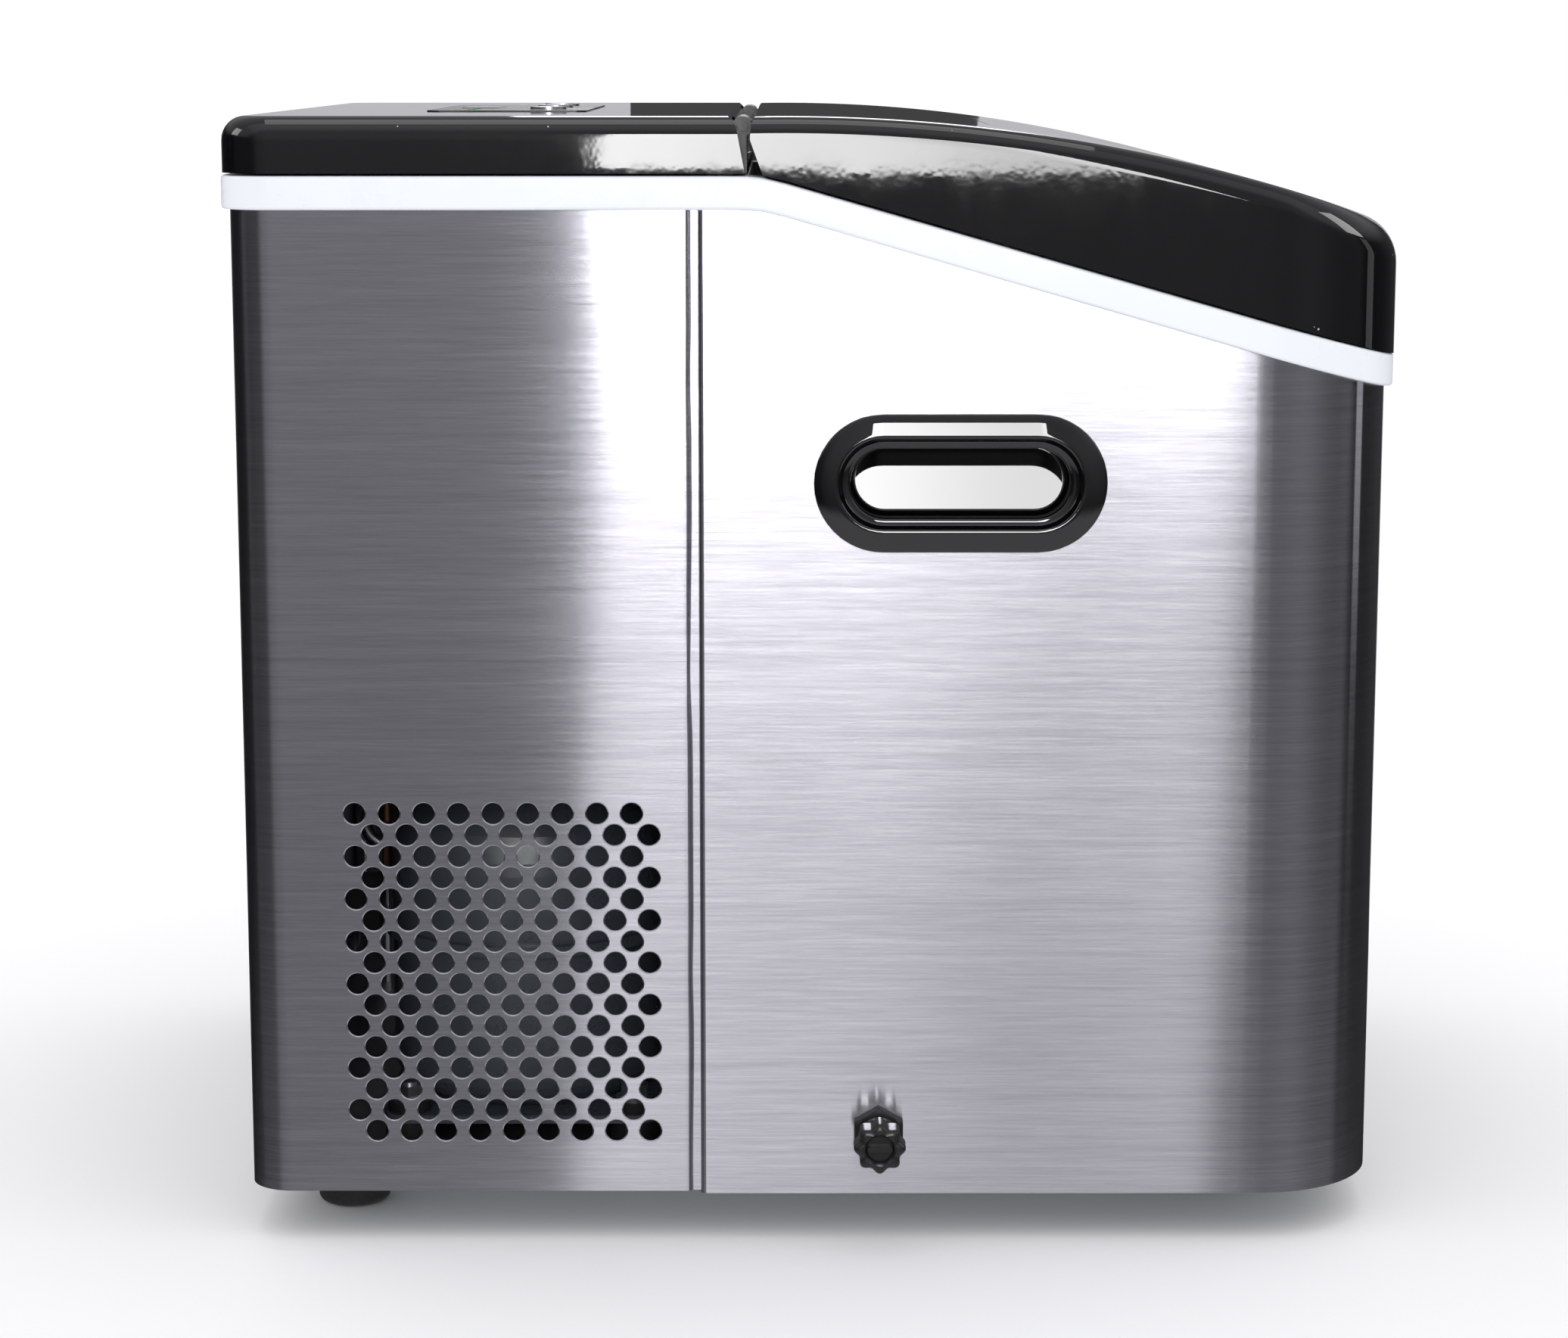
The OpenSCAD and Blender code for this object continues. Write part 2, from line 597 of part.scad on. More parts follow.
// ---- ice machine ----
module ice_chute() {
    r0 = shovel_l + 3;
    color("whitesmoke") in_frame() difference() {
        prism(concat(
            arc(shovel_y, shovel_z, r0 + 2.2, 274, 215, 12), [[-50, 263.5], [-50, 265.7]],
            arc(shovel_y, shovel_z, r0, 215, 274, 12)), -cheek_x[0] + 0.3, cheek_x[0] - 0.3);
        for (x = [-84:24:84]) box([x - 3, x + 3], [-10, 14], [240, 290]);
    }
}
module machine_frame() {
    color("white") in_frame() difference() {
        union() {
            both_sides() prism([[27.4, 254], [27.4, 372], [-14, 372], [-24, 352], [-24, 340], [-6, 318],
                                [-6, 290], [-30, 278], [-30, 254]], cheek_x[0], cheek_x[1]);
            box([-cheek_x[1], cheek_x[1]], [23.4, 27.4], [364, 372]);
            box([-cheek_x[1], cheek_x[1]], [23.4, 27.4], [254, 258]);
            both_sides() box([90, cheek_x[0]], [24.4, 27.4], [352, 372]);
        }
        for (x = [-96, 96]) rod_y(20, 30, x, 358, 1.65);

        both_sides() rod_x(cheek_x[0] - 1, cheek_x[1] + 1, tray_y, tray_z, stub_r + fit);
        both_sides() rod_x(cheek_x[0] - 1, cheek_x[1] + 1, shovel_y, shovel_z, stub_r - 1 + fit);
    }
}
module machine_screws() {
    color("silver") in_frame() for (x = [-96, 96]) {
        rod_y(24.35, 34, x, 358, 1.6);
        rod_y(22, 24.35, x, 358, 3.2);
    }
}
module water_tray() {
    color([0.9, 0.93, 0.96]) in_frame() union() {
        prism(concat(arc(tray_y, tray_z, tray_r, 180, 360, 32), [[tray_y + tray_r, tray_z + 2],
            [tray_y + tray_r - 2, tray_z + 2]], arc(tray_y, tray_z, tray_r - 2, 360, 180, 32),
            [[tray_y - tray_r + 2, tray_z + 2], [tray_y - tray_r, tray_z + 2]]), -tray_x, tray_x);
        both_sides() {
            prism(concat(arc(tray_y, tray_z, tray_r - 0.5, 180, 360, 32), [
                [tray_y + tray_r - 0.5, tray_z + 2], [tray_y + 7, tray_z + 7],
                [tray_y - 7, tray_z + 7], [tray_y - tray_r + 0.5, tray_z + 2]]), tray_x - 2, tray_x);
            rod_x(tray_x - 1, 106, tray_y, tray_z, stub_r);
        }
        rod_x(105, 114, tray_y, tray_z, stub_r);
    }
}
module ice_shovel() {
    color("white") in_frame() union() {
        rod_x(-99, 99, shovel_y, shovel_z, 4.4);
        rod_x(-107.5, 107.5, shovel_y, shovel_z, stub_r - 1);
        box([-96, 96], [shovel_y - 1.3, shovel_y + 1.3], [shovel_z - 34, shovel_z]);
        for (x = [-92:16:92]) box([x - 5, x + 5], [shovel_y - 1.3, shovel_y + 1.3],
                                  [shovel_z - shovel_l, shovel_z - 33]);
        for (x = [-72:48:72]) box([x - 1, x + 1], [shovel_y - 5, shovel_y], [shovel_z - 32, shovel_z]);
    }
}
module tray_motor() {
    color("silver") in_frame() difference() {
        union() {
            rod_x(108.4, 128, tray_y, tray_z, 20);
            box([108.4, 111], [tray_y - 6, tray_y + 6], [tray_z - 26, tray_z + 26]);
        }
        rod_x(107, 115, tray_y, tray_z, stub_r + fit);
        for (z = [-22.5, 22.5]) rod_x(107, 112, tray_y, tray_z + z, 1.7);
    }
}
finger_x = [for (i = [0:finger_cols - 1]) (i - (finger_cols - 1) / 2) * 30];
module evaporator() {
    color("lightsteelblue") in_frame() union() {
        prism(rrect(tray_y - 14, tray_y + 14, tray_z + 6, tray_z + 17, 4, 5), -90, 90);
        for (x = finger_x) for (s = [-12, 12]) translate([x, tray_y + s, 0]) {
            translate([0, 0, tray_z - 19]) cylinder(r = 5, h = 26);
            translate([0, 0, tray_z - 19]) sphere(r = 5);
        }
    }
}
module evaporator_bracket() {
    color("white") in_frame() for (x = [-40, 40]) union() {
        box([x - 6, x + 6], [tray_y + 2, 23.3], [tray_z + 17.1, tray_z + 20]);
        box([x - 6, x + 6], [20.3, 23.3], [tray_z + 17.1, 372]);
    }
}
module water_pump() {
    color("black") in_frame() union() {
        box([72, 104], [-24, 6], [tub_floor + 2.6, tub_floor + 24]);
        rod_z(tub_floor + 23, tub_floor + 36, 88, -9, 12);
        rod_y(5, 13, 88, tub_floor + 15, 5);
    }
}
module pump_hose() {
    color("ivory") in_frame() tube([
        [88, 13.1, tub_floor + 15], [88, 18.5, tub_floor + 15], [124, 18.5, tub_floor + 40],
        [124, 18.5, 378.5], [86, 18.5, 378.5], [86, 8, 362]], 5, 3.4, 10);
}
module float_stem() {
    color("white") in_frame() union() {
        rod_z(tub_floor + 2.6, 126, -118, 2, 3);
        rod_z(tub_floor + 2.6, tub_floor + 6, -118, 2, 8);
        rod_z(124, 127, -118, 2, 6);
    }
}
module level_float() {
    color("whitesmoke") in_frame() difference() {
        rod_z(tub_floor + 6.2, tub_floor + 22, -118, 2, 10);
        rod_z(tub_floor + 5, tub_floor + 23, -118, 2, 3.1);
    }
}
module ice_sensors() {
    color("black") in_frame() both_sides() union() {
        box([tub_x - 8, tub_x - 2.6], [-48, -34], [288, 302]);
        rod_x(tub_x - 10, tub_x - 8, -41, 295, 3);
    }
}

// ---- machine compartment ----
grommet_xy = [for (x = [-50, 50]) for (y = [-42, 42]) [comp[0] + x, comp[1] + y]];
comp_stub = [[comp[0] + 26, comp[1] + 20], [comp[0] + 30, comp[1] - 14]];
module compressor() {
    color([0.05, 0.05, 0.05]) in_frame() union() {
        translate([comp[0], comp[1], 0]) rotate_extrude($fn = 72) polygon(concat(
            [[0, 36], [40, 36]], arc(40, 48, 12, -90, 0, 6),
            [[52, 96], [55, 96], [55, 100], [52, 100], [52, 126]],
            arc(14, 126, 38, 0, 75, 10), [[14, 165], [0, 166]]));
        difference() {
            slab(rrect(comp[0] - 59, comp[0] + 59, comp[1] - 51, comp[1] + 51, 8, 5), 34, 37);
            for (p = grommet_xy) rod_z(33, 38, p[0], p[1], 5.1);
        }
        box([comp[0] + 44, comp[0] + 68], [comp[1] - 22, comp[1] + 22], [58, 108]);
        for (p = comp_stub) rod_z(140, 172, p[0], p[1], 4.2);
    }
}
module compressor_grommets() {
    color("black") in_frame() for (p = grommet_xy) difference() {
        union() {
            rod_z(panel_z + 2.6, 33.9, p[0], p[1], 9);
            rod_z(33, 38, p[0], p[1], 5);
            rod_z(37.1, 41, p[0], p[1], 8);
        }
        rod_z(panel_z, 45, p[0], p[1], 3.1);
    }
}
module compressor_bolts() {
    color("silver") in_frame() for (p = grommet_xy) union() {
        rod_z(panel_z - 3, 48, p[0], p[1], 2.9);
        rod_z(41.1, 42.4, p[0], p[1], 7);
        translate([p[0], p[1], 42.3]) cylinder(d = 11, h = 4.6, $fn = 6);
        translate([p[0], p[1], panel_z - 2.6]) cylinder(d = 11, h = 3.5, $fn = 6);
    }
}
cond_x = [116, 146];
cond_tube_x = 131;
module condenser() {
    color("silver") in_frame() union() {
        for (i = [0:21]) box(cond_x, [66 + i * 5.4, 66.8 + i * 5.4], [30, 190]);
        for (z = [40:20:180]) rod_y(61.5, 190.1, cond_tube_x, z, 3.2);
        for (y = [62, 188.5]) box(cond_x, [y, y + 1.5], [panel_z + 2.6, 194]);
        for (z = [50:40:170]) return_bend(189.7, z, 1);
        for (z = [70:40:150]) return_bend(61.9, z, -1);
    }
}
// Bend that joins two tube runs 20 mm apart
module return_bend(y, z, side) {
    translate([cond_tube_x, y, z]) rotate([0, -90, side > 0 ? 0 : 180])
        rotate_extrude(angle = 180) translate([10, 0]) circle(r = 3.5);
}
module fan_shroud() {
    color([0.1, 0.1, 0.1]) in_frame() difference() {
        union() {
            box([106, 109], [60, 187], [panel_z + 2.6, 186]);
            rod_x(84, 106.5, fan_c[0], fan_c[1], fan_r + 7);
        }
        rod_x(80, 112, fan_c[0], fan_c[1], fan_r + 4);
    }
}
module fan_motor() {
    color("gray") in_frame() union() {
        rod_x(46, 74, fan_c[0], fan_c[1], 21);
        rod_x(74, 86, fan_c[0], fan_c[1], 4);
        for (a = [0, 90, 180, 270]) translate([0, fan_c[0], fan_c[1]]) rotate([a + 45, 0, 0])
            translate([0, 0, 20]) {
                translate([68, -5, 0]) cube([3, 10, fan_r + 7 - 20]);
                translate([68, -5, fan_r + 4.6 - 20]) cube([16, 10, 2.4]);
            }
    }
}
module fan_blades() {
    color([0.12, 0.12, 0.12]) in_frame() difference() {
        union() {
            rod_x(80, 104, fan_c[0], fan_c[1], 13);
            for (k = [0:4]) translate([92, fan_c[0], fan_c[1]]) rotate([72 * k, 0, 0]) intersection() {
                rotate([0, 0, 32]) translate([-15, -0.9, 10]) cube([30, 1.8, fan_r]);
                rod_x(-10, 10, 0, 0, fan_r);
            }
        }
        rod_x(79, 92, fan_c[0], fan_c[1], 4 + fit);
    }
}
module filter_drier() {
    color("peru") in_frame() translate([40, 180, 0]) rotate_extrude() polygon([
        [0, 110], [3, 110], [3, 118], [9, 126], [9, 186], [3, 194], [3, 202], [0, 202]]);
}
module hot_gas_valve() {
    color("goldenrod") in_frame() union() {
        rod_x(-12, 12, 72, 236, 6);
        rod_z(236, 252, 0, 72, 7);
        box([-12, 12], [60, 84], [252, 278]);
    }
}
module discharge_tube() {
    start = [comp_stub[0][0], comp_stub[0][1], 172.1];
    color("peru") in_frame() union() {
        tube([start, [start[0], start[1], 214], [60, 132, 214], [cond_tube_x, 80, 214],
        [cond_tube_x, 54, 200],
              [cond_tube_x, 54, 180], [cond_tube_x, 61.3, 180]], 5, 3, 8);
        tube([[-30, start[1], 217.2], [-30, start[1], 236], [-30, 72, 236], [-12.2, 72, 236]], 6, 2.4, 8);
    }
}
module liquid_tube() {
    color("peru") in_frame() union() {
        tube([[cond_tube_x, 61.3, 40], [cond_tube_x, 54, 40], [60, 54, 40], [40, 180, 84],
        [40, 180, 109.8]],
             5, 2.6, 8);
        tube([[40, 180, 202.2], [40, 180, 300], [line_x[2], 100, line_z],
        [line_x[2], 6.2, line_z]], 8, 2.2, 8);
        tube([[12.2, 72, 236], [line_x[1], 72, 236], [line_x[1], 72, line_z], [line_x[1], 6.2, line_z]],
             8, 2.4, 8);
    }
}
module suction_tube() {
    color("peru") in_frame() tube([[line_x[0], 6.2, line_z], [line_x[0], 62, line_z], [line_x[0], 62, 214],
        [comp_stub[1][0], comp_stub[1][1], 200], [comp_stub[1][0], comp_stub[1][1], 172.1]], 8, 4, 8);
}
module power_inlet() {
    color([0.06, 0.06, 0.06]) in_frame() difference() {
        union() {
            box([inlet_x - 18, inlet_x + 18], [rear_y + 0.05, rear_y + 2.5], [inlet_z - 13, inlet_z + 13]);
            box([inlet_x - 13.6, inlet_x + 13.6], [rear_y - 20, rear_y + 0.5], [inlet_z - 10, inlet_z + 10]);
        }
        box([inlet_x - 12, inlet_x + 12], [rear_y - 16, rear_y + 5], [inlet_z - 8, inlet_z + 8]);
    }
}
module power_board() {
    color("green") in_frame() union() {
        box([-150, -20], [150, 200], [296, 297.6]);
        box([-130, -90], [156, 190], [297.6, 326]);
        box([-70, -46], [160, 184], [297.6, 314]);
        for (x = [-144, -26]) for (y = [156, 194]) rod_z(292, 297, x, y, 3);
        box([-154, -16], [146, 207.4], [289.6, 292.1]);
        box([-154, -16], [205.4, 207.4], [289.6, 312]);
    }
}

base_pan();
feet();
foot_screws();
rear_panel();
front_panel();
panel_screws();
trim_frame();
rear_cover();
control_panel();
display_lens();
indicator_lenses();
control_board();
power_button();
size_button();
clean_button();
lid();
lid_window();
lid_liner();
lid_bumpers();
hinge_brackets();
hinge_pins();
left_handle_cup();
right_handle_cup();
drain_spout();
drain_nut();
drain_seal();
drain_cap();
drain_hose();
water_tub();
foam_jacket();
divider_plate();
ice_basket();
ice_chute();
machine_frame();
machine_screws();
water_tray();
ice_shovel();
tray_motor();
evaporator();
evaporator_bracket();
water_pump();
pump_hose();
float_stem();
level_float();
ice_sensors();
compressor();
compressor_grommets();
compressor_bolts();
condenser();
fan_shroud();
fan_motor();
fan_blades();
filter_drier();
hot_gas_valve();
discharge_tube();
liquid_tube();
suction_tube();
power_inlet();
power_board();
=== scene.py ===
import math

import bmesh
import bpy
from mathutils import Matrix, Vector
from mathutils.geometry import tessellate_polygon


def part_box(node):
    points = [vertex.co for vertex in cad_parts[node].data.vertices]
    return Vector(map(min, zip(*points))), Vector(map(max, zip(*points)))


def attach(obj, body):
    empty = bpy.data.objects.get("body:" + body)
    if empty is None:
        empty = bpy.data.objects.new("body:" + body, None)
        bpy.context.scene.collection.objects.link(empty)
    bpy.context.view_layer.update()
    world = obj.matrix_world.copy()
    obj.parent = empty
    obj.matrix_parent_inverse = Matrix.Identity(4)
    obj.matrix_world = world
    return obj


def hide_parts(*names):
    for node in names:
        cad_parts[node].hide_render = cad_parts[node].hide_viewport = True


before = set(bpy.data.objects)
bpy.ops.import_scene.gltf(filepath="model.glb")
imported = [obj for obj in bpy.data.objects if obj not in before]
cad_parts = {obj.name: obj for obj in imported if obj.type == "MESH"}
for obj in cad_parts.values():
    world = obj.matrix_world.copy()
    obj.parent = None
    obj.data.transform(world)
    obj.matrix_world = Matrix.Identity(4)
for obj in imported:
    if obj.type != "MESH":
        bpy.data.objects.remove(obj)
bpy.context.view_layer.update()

# ---------------------------------------------------------------- sizes, in millimetres
# Lengths below are in millimetres in the cabinet's own frame: x from its mid plane, y and z as in the CAD.
MM = 0.001


def box_mm(node):
    """Lowest and highest corner of a CAD node, in millimetres."""
    low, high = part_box(node)
    return low / MM, high / MM


front_low, front_high = box_mm("front_panel")
rear_low, rear_high = box_mm("rear_panel")
_, trim_high = box_mm("trim_frame")
lid_low, _ = box_mm("lid")
_, cover_high = box_mm("rear_cover")

MID_X = (front_low.x + front_high.x) / 2
HALF_W = (front_high.x - front_low.x) / 2
FRONT_Y = front_low.y
REAR_Y = rear_high.y
# corner radii in plan, and the radius of the bowed front
FRONT_R, REAR_R, BOW_R = 46.0, 16.0, 1900.0
CORNER_X = HALF_W - FRONT_R
BOW_Y = FRONT_Y + BOW_R
CORNER_Y = BOW_Y - math.sqrt((BOW_R - FRONT_R) ** 2 - CORNER_X**2)
BOW_ANGLE = math.acos(CORNER_X / (BOW_R - FRONT_R))

# the trim is level at TRIM_Z behind BEND_Y and falls by SLOPE ahead of it
TRIM_Z = 384.5
BEND_Y, BEND_SOFT = 22.0, 2.5
SLOPE = math.tan(math.radians(16.0))
TRIM_H, TRIM_EDGE_R = 11.8, 1.3
TRIM_OUT = trim_high.y - REAR_Y
# the trim's inner ledge, and the bar across it under the joint of lid and cover
LEDGE_IN, LEDGE_H, LEDGE_LAP = 16.0, 4.0, 0.3
BAR_Y, BAR_HALF_W = (32.0, 45.5), 162.0

# the steel ends STEEL_TOP below the trim's top; the front sheet's rolled edge is the seam, and the rear
# sheet is joggled in behind it
STEEL_TOP, SHEET = 5.0, 0.9
FLAT_END = 6.0
SEAM_Y, EDGE_ROLL = front_high.y, 1.9
JOGGLE_Y, JOGGLE_IN = SEAM_Y + 3.2, 1.3
JOGGLE_ROWS = 90
TONGUE_Y = 32.0
VENT_COLUMNS, VENT_ROWS = 9, 16
VENT_STEP_Y, VENT_STEP_Z = 12.4, 7.83
VENT_Y, VENT_Z, VENT_R = 167.8, 158.2, 3.9
# widths of the rounded lip at a hole's edge, and its depth as a share of the width
EDGE_LIP, VENT_LIP, LIP_DEPTH = 0.25, 0.4, 0.8
CUP_Y, CUP_Z = -48.3, 277.0
CUP_HOLE_W, CUP_HOLE_H = 86.0, 33.0
DRAIN_Y, DRAIN_Z, DRAIN_HOLE_R = -20.3, 40.3, 6.6
INLET_LAP_X, INLET_LAP_Z = 3.0, 2.5

TOP_Z = cover_high.z
COVER_OUT = cover_high.y - REAR_Y
LID_OUT = FRONT_Y - lid_low.y
# the lid's long curve is an arc about (LID_APEX, LID_CENTRE) in the side view
LID_R, LID_APEX = 625.0, 14.0
LID_CENTRE = TOP_Z - LID_R
LID_EDGE_R, NOSE_R = 8.0, 18.0
COVER_EDGE_R, COVER_FALL = 8.5, 4.0
GAP, FIT, WALL = 0.8, 0.25, 3.0
HINGE_Y, HINGE_Z = 28.7, TOP_Z - 4.0
HINGE_X = (118.0, 148.0)
BARREL_R, BARREL_FACE_R, PIN_BORE_R = 3.6, 3.2, 1.85
WINDOW_X, WINDOW_R = 92.0, 8.0
WINDOW_Y = (-168.0, -62.0)
# edges over SHARP degrees stay sharp; points closer than WELD are one
SHARP, WELD, DEGENERATE = 38.0, 0.01, 0.001


def point(x, y, z):
    """A place in the cabinet's millimetres as a point in the frame, in metres."""
    return Vector(((x + MID_X) * MM, y * MM, z * MM))


def trim_top(y):
    """Height of the trim's top edge, with its bend slightly softened."""
    reach = (BEND_Y - y) / BEND_SOFT
    soft = reach if reach > 30 else math.log1p(math.exp(reach))
    return TRIM_Z - SLOPE * BEND_SOFT * soft


def lid_top(y):
    """Height of the lid's long curve."""
    return LID_CENTRE + math.sqrt(LID_R**2 - (y - LID_APEX) ** 2)


def lid_fall(y):
    """Slope of the lid's long curve at y, positive where it rises towards the rear."""
    return (LID_APEX - y) / math.sqrt(LID_R**2 - (y - LID_APEX) ** 2)


# ---------------------------------------------------------------- plan outlines
# A plan point is (x, y, normal x, normal y).
def spread(low, high, count):
    """Evenly spread values from low up to but not including high."""
    return [low + (high - low) * k / count for k in range(count)]


def mirrored(half):
    """The half outline, then the same points mirrored, without doubling the one on the mid plane."""
    on_axis = abs(half[-1][0]) < 1e-6
    back = [(-x, y, -nx, ny) for x, y, nx, ny in reversed(half[:-1] if on_axis else half)]
    return half + back


def round_front(y_end, sides=1, corner=20, bow=14):
    """From the right side at y_end, round the front, to the left side at y_end."""
    half = [(HALF_W, y, 1.0, 0.0) for y in spread(y_end, CORNER_Y, sides)]
    for k in range(corner):
        a = -BOW_ANGLE * k / corner
        c, s = math.cos(a), math.sin(a)
        half.append((CORNER_X + FRONT_R * c, CORNER_Y + FRONT_R * s, c, s))
    for k in range(bow + 1):
        a = -BOW_ANGLE - (math.pi / 2 - BOW_ANGLE) * k / bow
        half.append((BOW_R * math.cos(a), BOW_Y + BOW_R * math.sin(a), math.cos(a), math.sin(a)))
    return mirrored(half)


def round_rear(y_end, sides=1, corner=14, back=4):
    """From the left side at y_end, round the rear, to the right side at y_end."""
    half = [(-HALF_W, y, -1.0, 0.0) for y in spread(y_end, REAR_Y - REAR_R, sides)]
    for k in range(corner + 1):
        a = math.pi - math.pi / 2 * k / corner
        c, s = math.cos(a), math.sin(a)
        half.append((REAR_R - HALF_W + REAR_R * c, REAR_Y - REAR_R + REAR_R * s, c, s))
    for x in spread(REAR_R - HALF_W, 0.0, back)[1:]:
        half.append((x, REAR_Y, 0.0, 1.0))
    half.append((0.0, REAR_Y, 0.0, 1.0))
    return mirrored(half)


def offset(plan, out):
    """Plan points moved out along their normals."""
    return [(x + nx * out, y + ny * out) for x, y, nx, ny in plan]


def stadium(width, height, count=20):
    """Points round a slot shape centred on 0, 0."""
    r = height / 2
    shift = (width - height) / 2
    points = []
    for side in (1, -1):
        for k in range(count + 1):
            a = math.pi * k / count - math.pi / 2
            points.append((side * (shift + r * math.cos(a)), side * r * math.sin(a)))
    return points


def circle(r, count=24):
    angles = [math.tau * k / count for k in range(count)]
    return [(r * math.cos(a), r * math.sin(a)) for a in angles]


def rounded_rect(x0, x1, y0, y1, r, count=6):
    points = []
    left, right, low, high = x0 + r, x1 - r, y0 + r, y1 - r
    for cx, cy, start in ((right, high, 0), (left, high, 90), (left, low, 180), (right, low, 270)):
        for k in range(count + 1):
            a = math.radians(start + 90 * k / count)
            points.append((cx + r * math.cos(a), cy + r * math.sin(a)))
    return points


def moved(loop, du, dv):
    return [(u + du, v + dv) for u, v in loop]


def grown(loop, out):
    """A loop scaled out from its own middle by a distance."""
    cx = sum(u for u, _ in loop) / len(loop)
    cy = sum(v for _, v in loop) / len(loop)
    loop_out = []
    for u, v in loop:
        reach = math.hypot(u - cx, v - cy)
        k = (reach + out) / reach
        loop_out.append((cx + (u - cx) * k, cy + (v - cy) * k))
    return loop_out


# ---------------------------------------------------------------- mesh building
def loft(bm, rings, closed=True):
    """Quads between rings of equal length; returns the rings as vertices."""
    made = [[bm.verts.new(p) for p in ring] for ring in rings]
    for a, b in zip(made, made[1:]):
        n = len(a)
        for i in range(n if closed else n - 1):
            j = (i + 1) % n
            bm.faces.new((a[i], a[j], b[j], b[i]))
    return made


def prism(bm, rings):
    """A loft closed at both ends."""
    made = loft(bm, rings)
    bm.faces.new(made[0])
    bm.faces.new(made[-1])


def fill_rows(bm, ring):
    """Fills a ring that is symmetric left and right with one face per pair of rows."""
    n = len(ring)
    for i in range(n // 2):
        j = n - 1 - i
        face = list(dict.fromkeys([ring[i], ring[i + 1], ring[j - 1], ring[j]]))
        if len(face) > 2:
            bm.faces.new(face)


def new_bmesh():
    """An empty mesh with a mark for faces that stay flat, whatever they meet."""
    bm = bmesh.new()
    bm.faces.layers.int.new("flat")
    return bm


def triangles_of(loops):
    """Triangles, as indices, of a flat outline with holes."""
    return tessellate_polygon([[Vector((u, v, 0.0)) for u, v in loop] for loop in loops])


def shell(outer_rings, inner_rings):
    """A wall between two lofts: both close at their last ring, and their first rings meet."""
    bm = new_bmesh()
    outer = loft(bm, outer_rings)
    inner = loft(bm, inner_rings)
    fill_rows(bm, outer[-1])
    fill_rows(bm, inner[-1])
    n = len(outer[0])
    for i in range(n):
        j = (i + 1) % n
        bm.faces.new((outer[0][i], outer[0][j], inner[0][j], inner[0][i]))
    return bm


def plate(bm, outer, holes, place, lip=EDGE_LIP):
    """A flat sheet with bevelled holes; place(u, v, w) puts in the frame a point w below its face."""
    flat_mark = bm.faces.layers.int["flat"]
    back_loops = [outer] + holes
    face_loops = [outer] + [grown(hole, lip) for hole in holes]
    layers = []
    for loops, depth in ((face_loops, 0.0), (back_loops, SHEET)):
        layers.append([bm.verts.new(place(u, v, depth)) for loop in loops for u, v in loop])
    face, back = layers
    for tri in triangles_of(face_loops):
        bm.faces.new([face[i] for i in tri])[flat_mark] = 1
    for tri in triangles_of(back_loops):
        bm.faces.new([back[i] for i in reversed(tri)])
    start = 0
    for loop in back_loops:
        n = len(loop)
        top = face[start:start + n]
        if loop is not outer:
            low = [bm.verts.new(place(u, v, lip * LIP_DEPTH)) for u, v in loop]
            for i in range(n):
                j = (i + 1) % n
                bm.faces.new((top[i], top[j], low[j], low[i]))
            top = low
        for i in range(n):
            j = (i + 1) % n
            bm.faces.new((top[i], top[j], back[start + j], back[start + i]))
        start += n


def mark_sharp(bm, sharp):
    """Sharp edges by angle, and wherever a flat plate meets anything else."""
    flat_mark = bm.faces.layers.int["flat"]
    limit = math.radians(sharp)
    for edge in bm.edges:
        pair = edge.link_faces
        edge.smooth = (len(pair) == 2 and pair[0][flat_mark] == pair[1][flat_mark]
                       and edge.calc_face_angle(0.0) <= limit)
    for face in bm.faces:
        face.smooth = True


def new_object(name, bm):
    mesh = bpy.data.meshes.new(name)
    bm.to_mesh(mesh)
    bm.free()
    obj = bpy.data.objects.new(name, mesh)
    bpy.context.scene.collection.objects.link(obj)
    return obj


def piece(name, bm, material, body, replaces=(), sharp=SHARP):
    """Turns a bmesh into a shaded piece that rides on a body."""
    bmesh.ops.remove_doubles(bm, verts=bm.verts, dist=WELD * MM)
    bmesh.ops.dissolve_degenerate(bm, dist=DEGENERATE * MM, edges=bm.edges)
    bmesh.ops.recalc_face_normals(bm, faces=bm.faces)
    mark_sharp(bm, sharp)
    obj = new_object(name, bm)
    obj.data.materials.append(material)
    weighted = obj.modifiers.new("weighted", "WEIGHTED_NORMAL")
    weighted.keep_sharp = True
    weighted.weight = 80
    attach(obj, body)
    if replaces:
        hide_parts(*replaces)
    return obj


def cut(obj, cutters):
    """Takes closed cutter meshes out of a piece, then removes them."""
    for tool in cutters:
        boolean = obj.modifiers.new("cut", "BOOLEAN")
        boolean.operation = "DIFFERENCE"
        boolean.solver = "EXACT"
        boolean.object = tool
    with bpy.context.temp_override(object=obj, active_object=obj, selected_objects=[obj]):
        for modifier in [m.name for m in obj.modifiers if m.type == "BOOLEAN"]:
            bpy.ops.object.modifier_move_to_index(modifier=modifier, index=0)
            bpy.ops.object.modifier_apply(modifier=modifier)
    for tool in cutters:
        bpy.data.objects.remove(tool)
    obj.data.shade_smooth()
    obj.data.set_sharp_from_angle(angle=math.radians(SHARP))


def cutter(outline, place, low, high):
    """A closed prism: the outline at w = low and w = high."""
    bm = bmesh.new()
    prism(bm, [[place(u, v, w) for u, v in outline] for w in (low, high)])
    bmesh.ops.recalc_face_normals(bm, faces=bm.faces)
    return new_object("cutter", bm)


def round_bore(r, low, high):
    """A cutter along the hinge's axis."""
    return cutter(moved(circle(r, 32), HINGE_Y, HINGE_Z), lambda u, v, w: point(w, u, v), low, high)


def from_side(side):
    """Places (along y, up) on a side plane; w goes in from the steel's face."""
    return lambda u, v, w: point(side * (HALF_W - w), u, v)


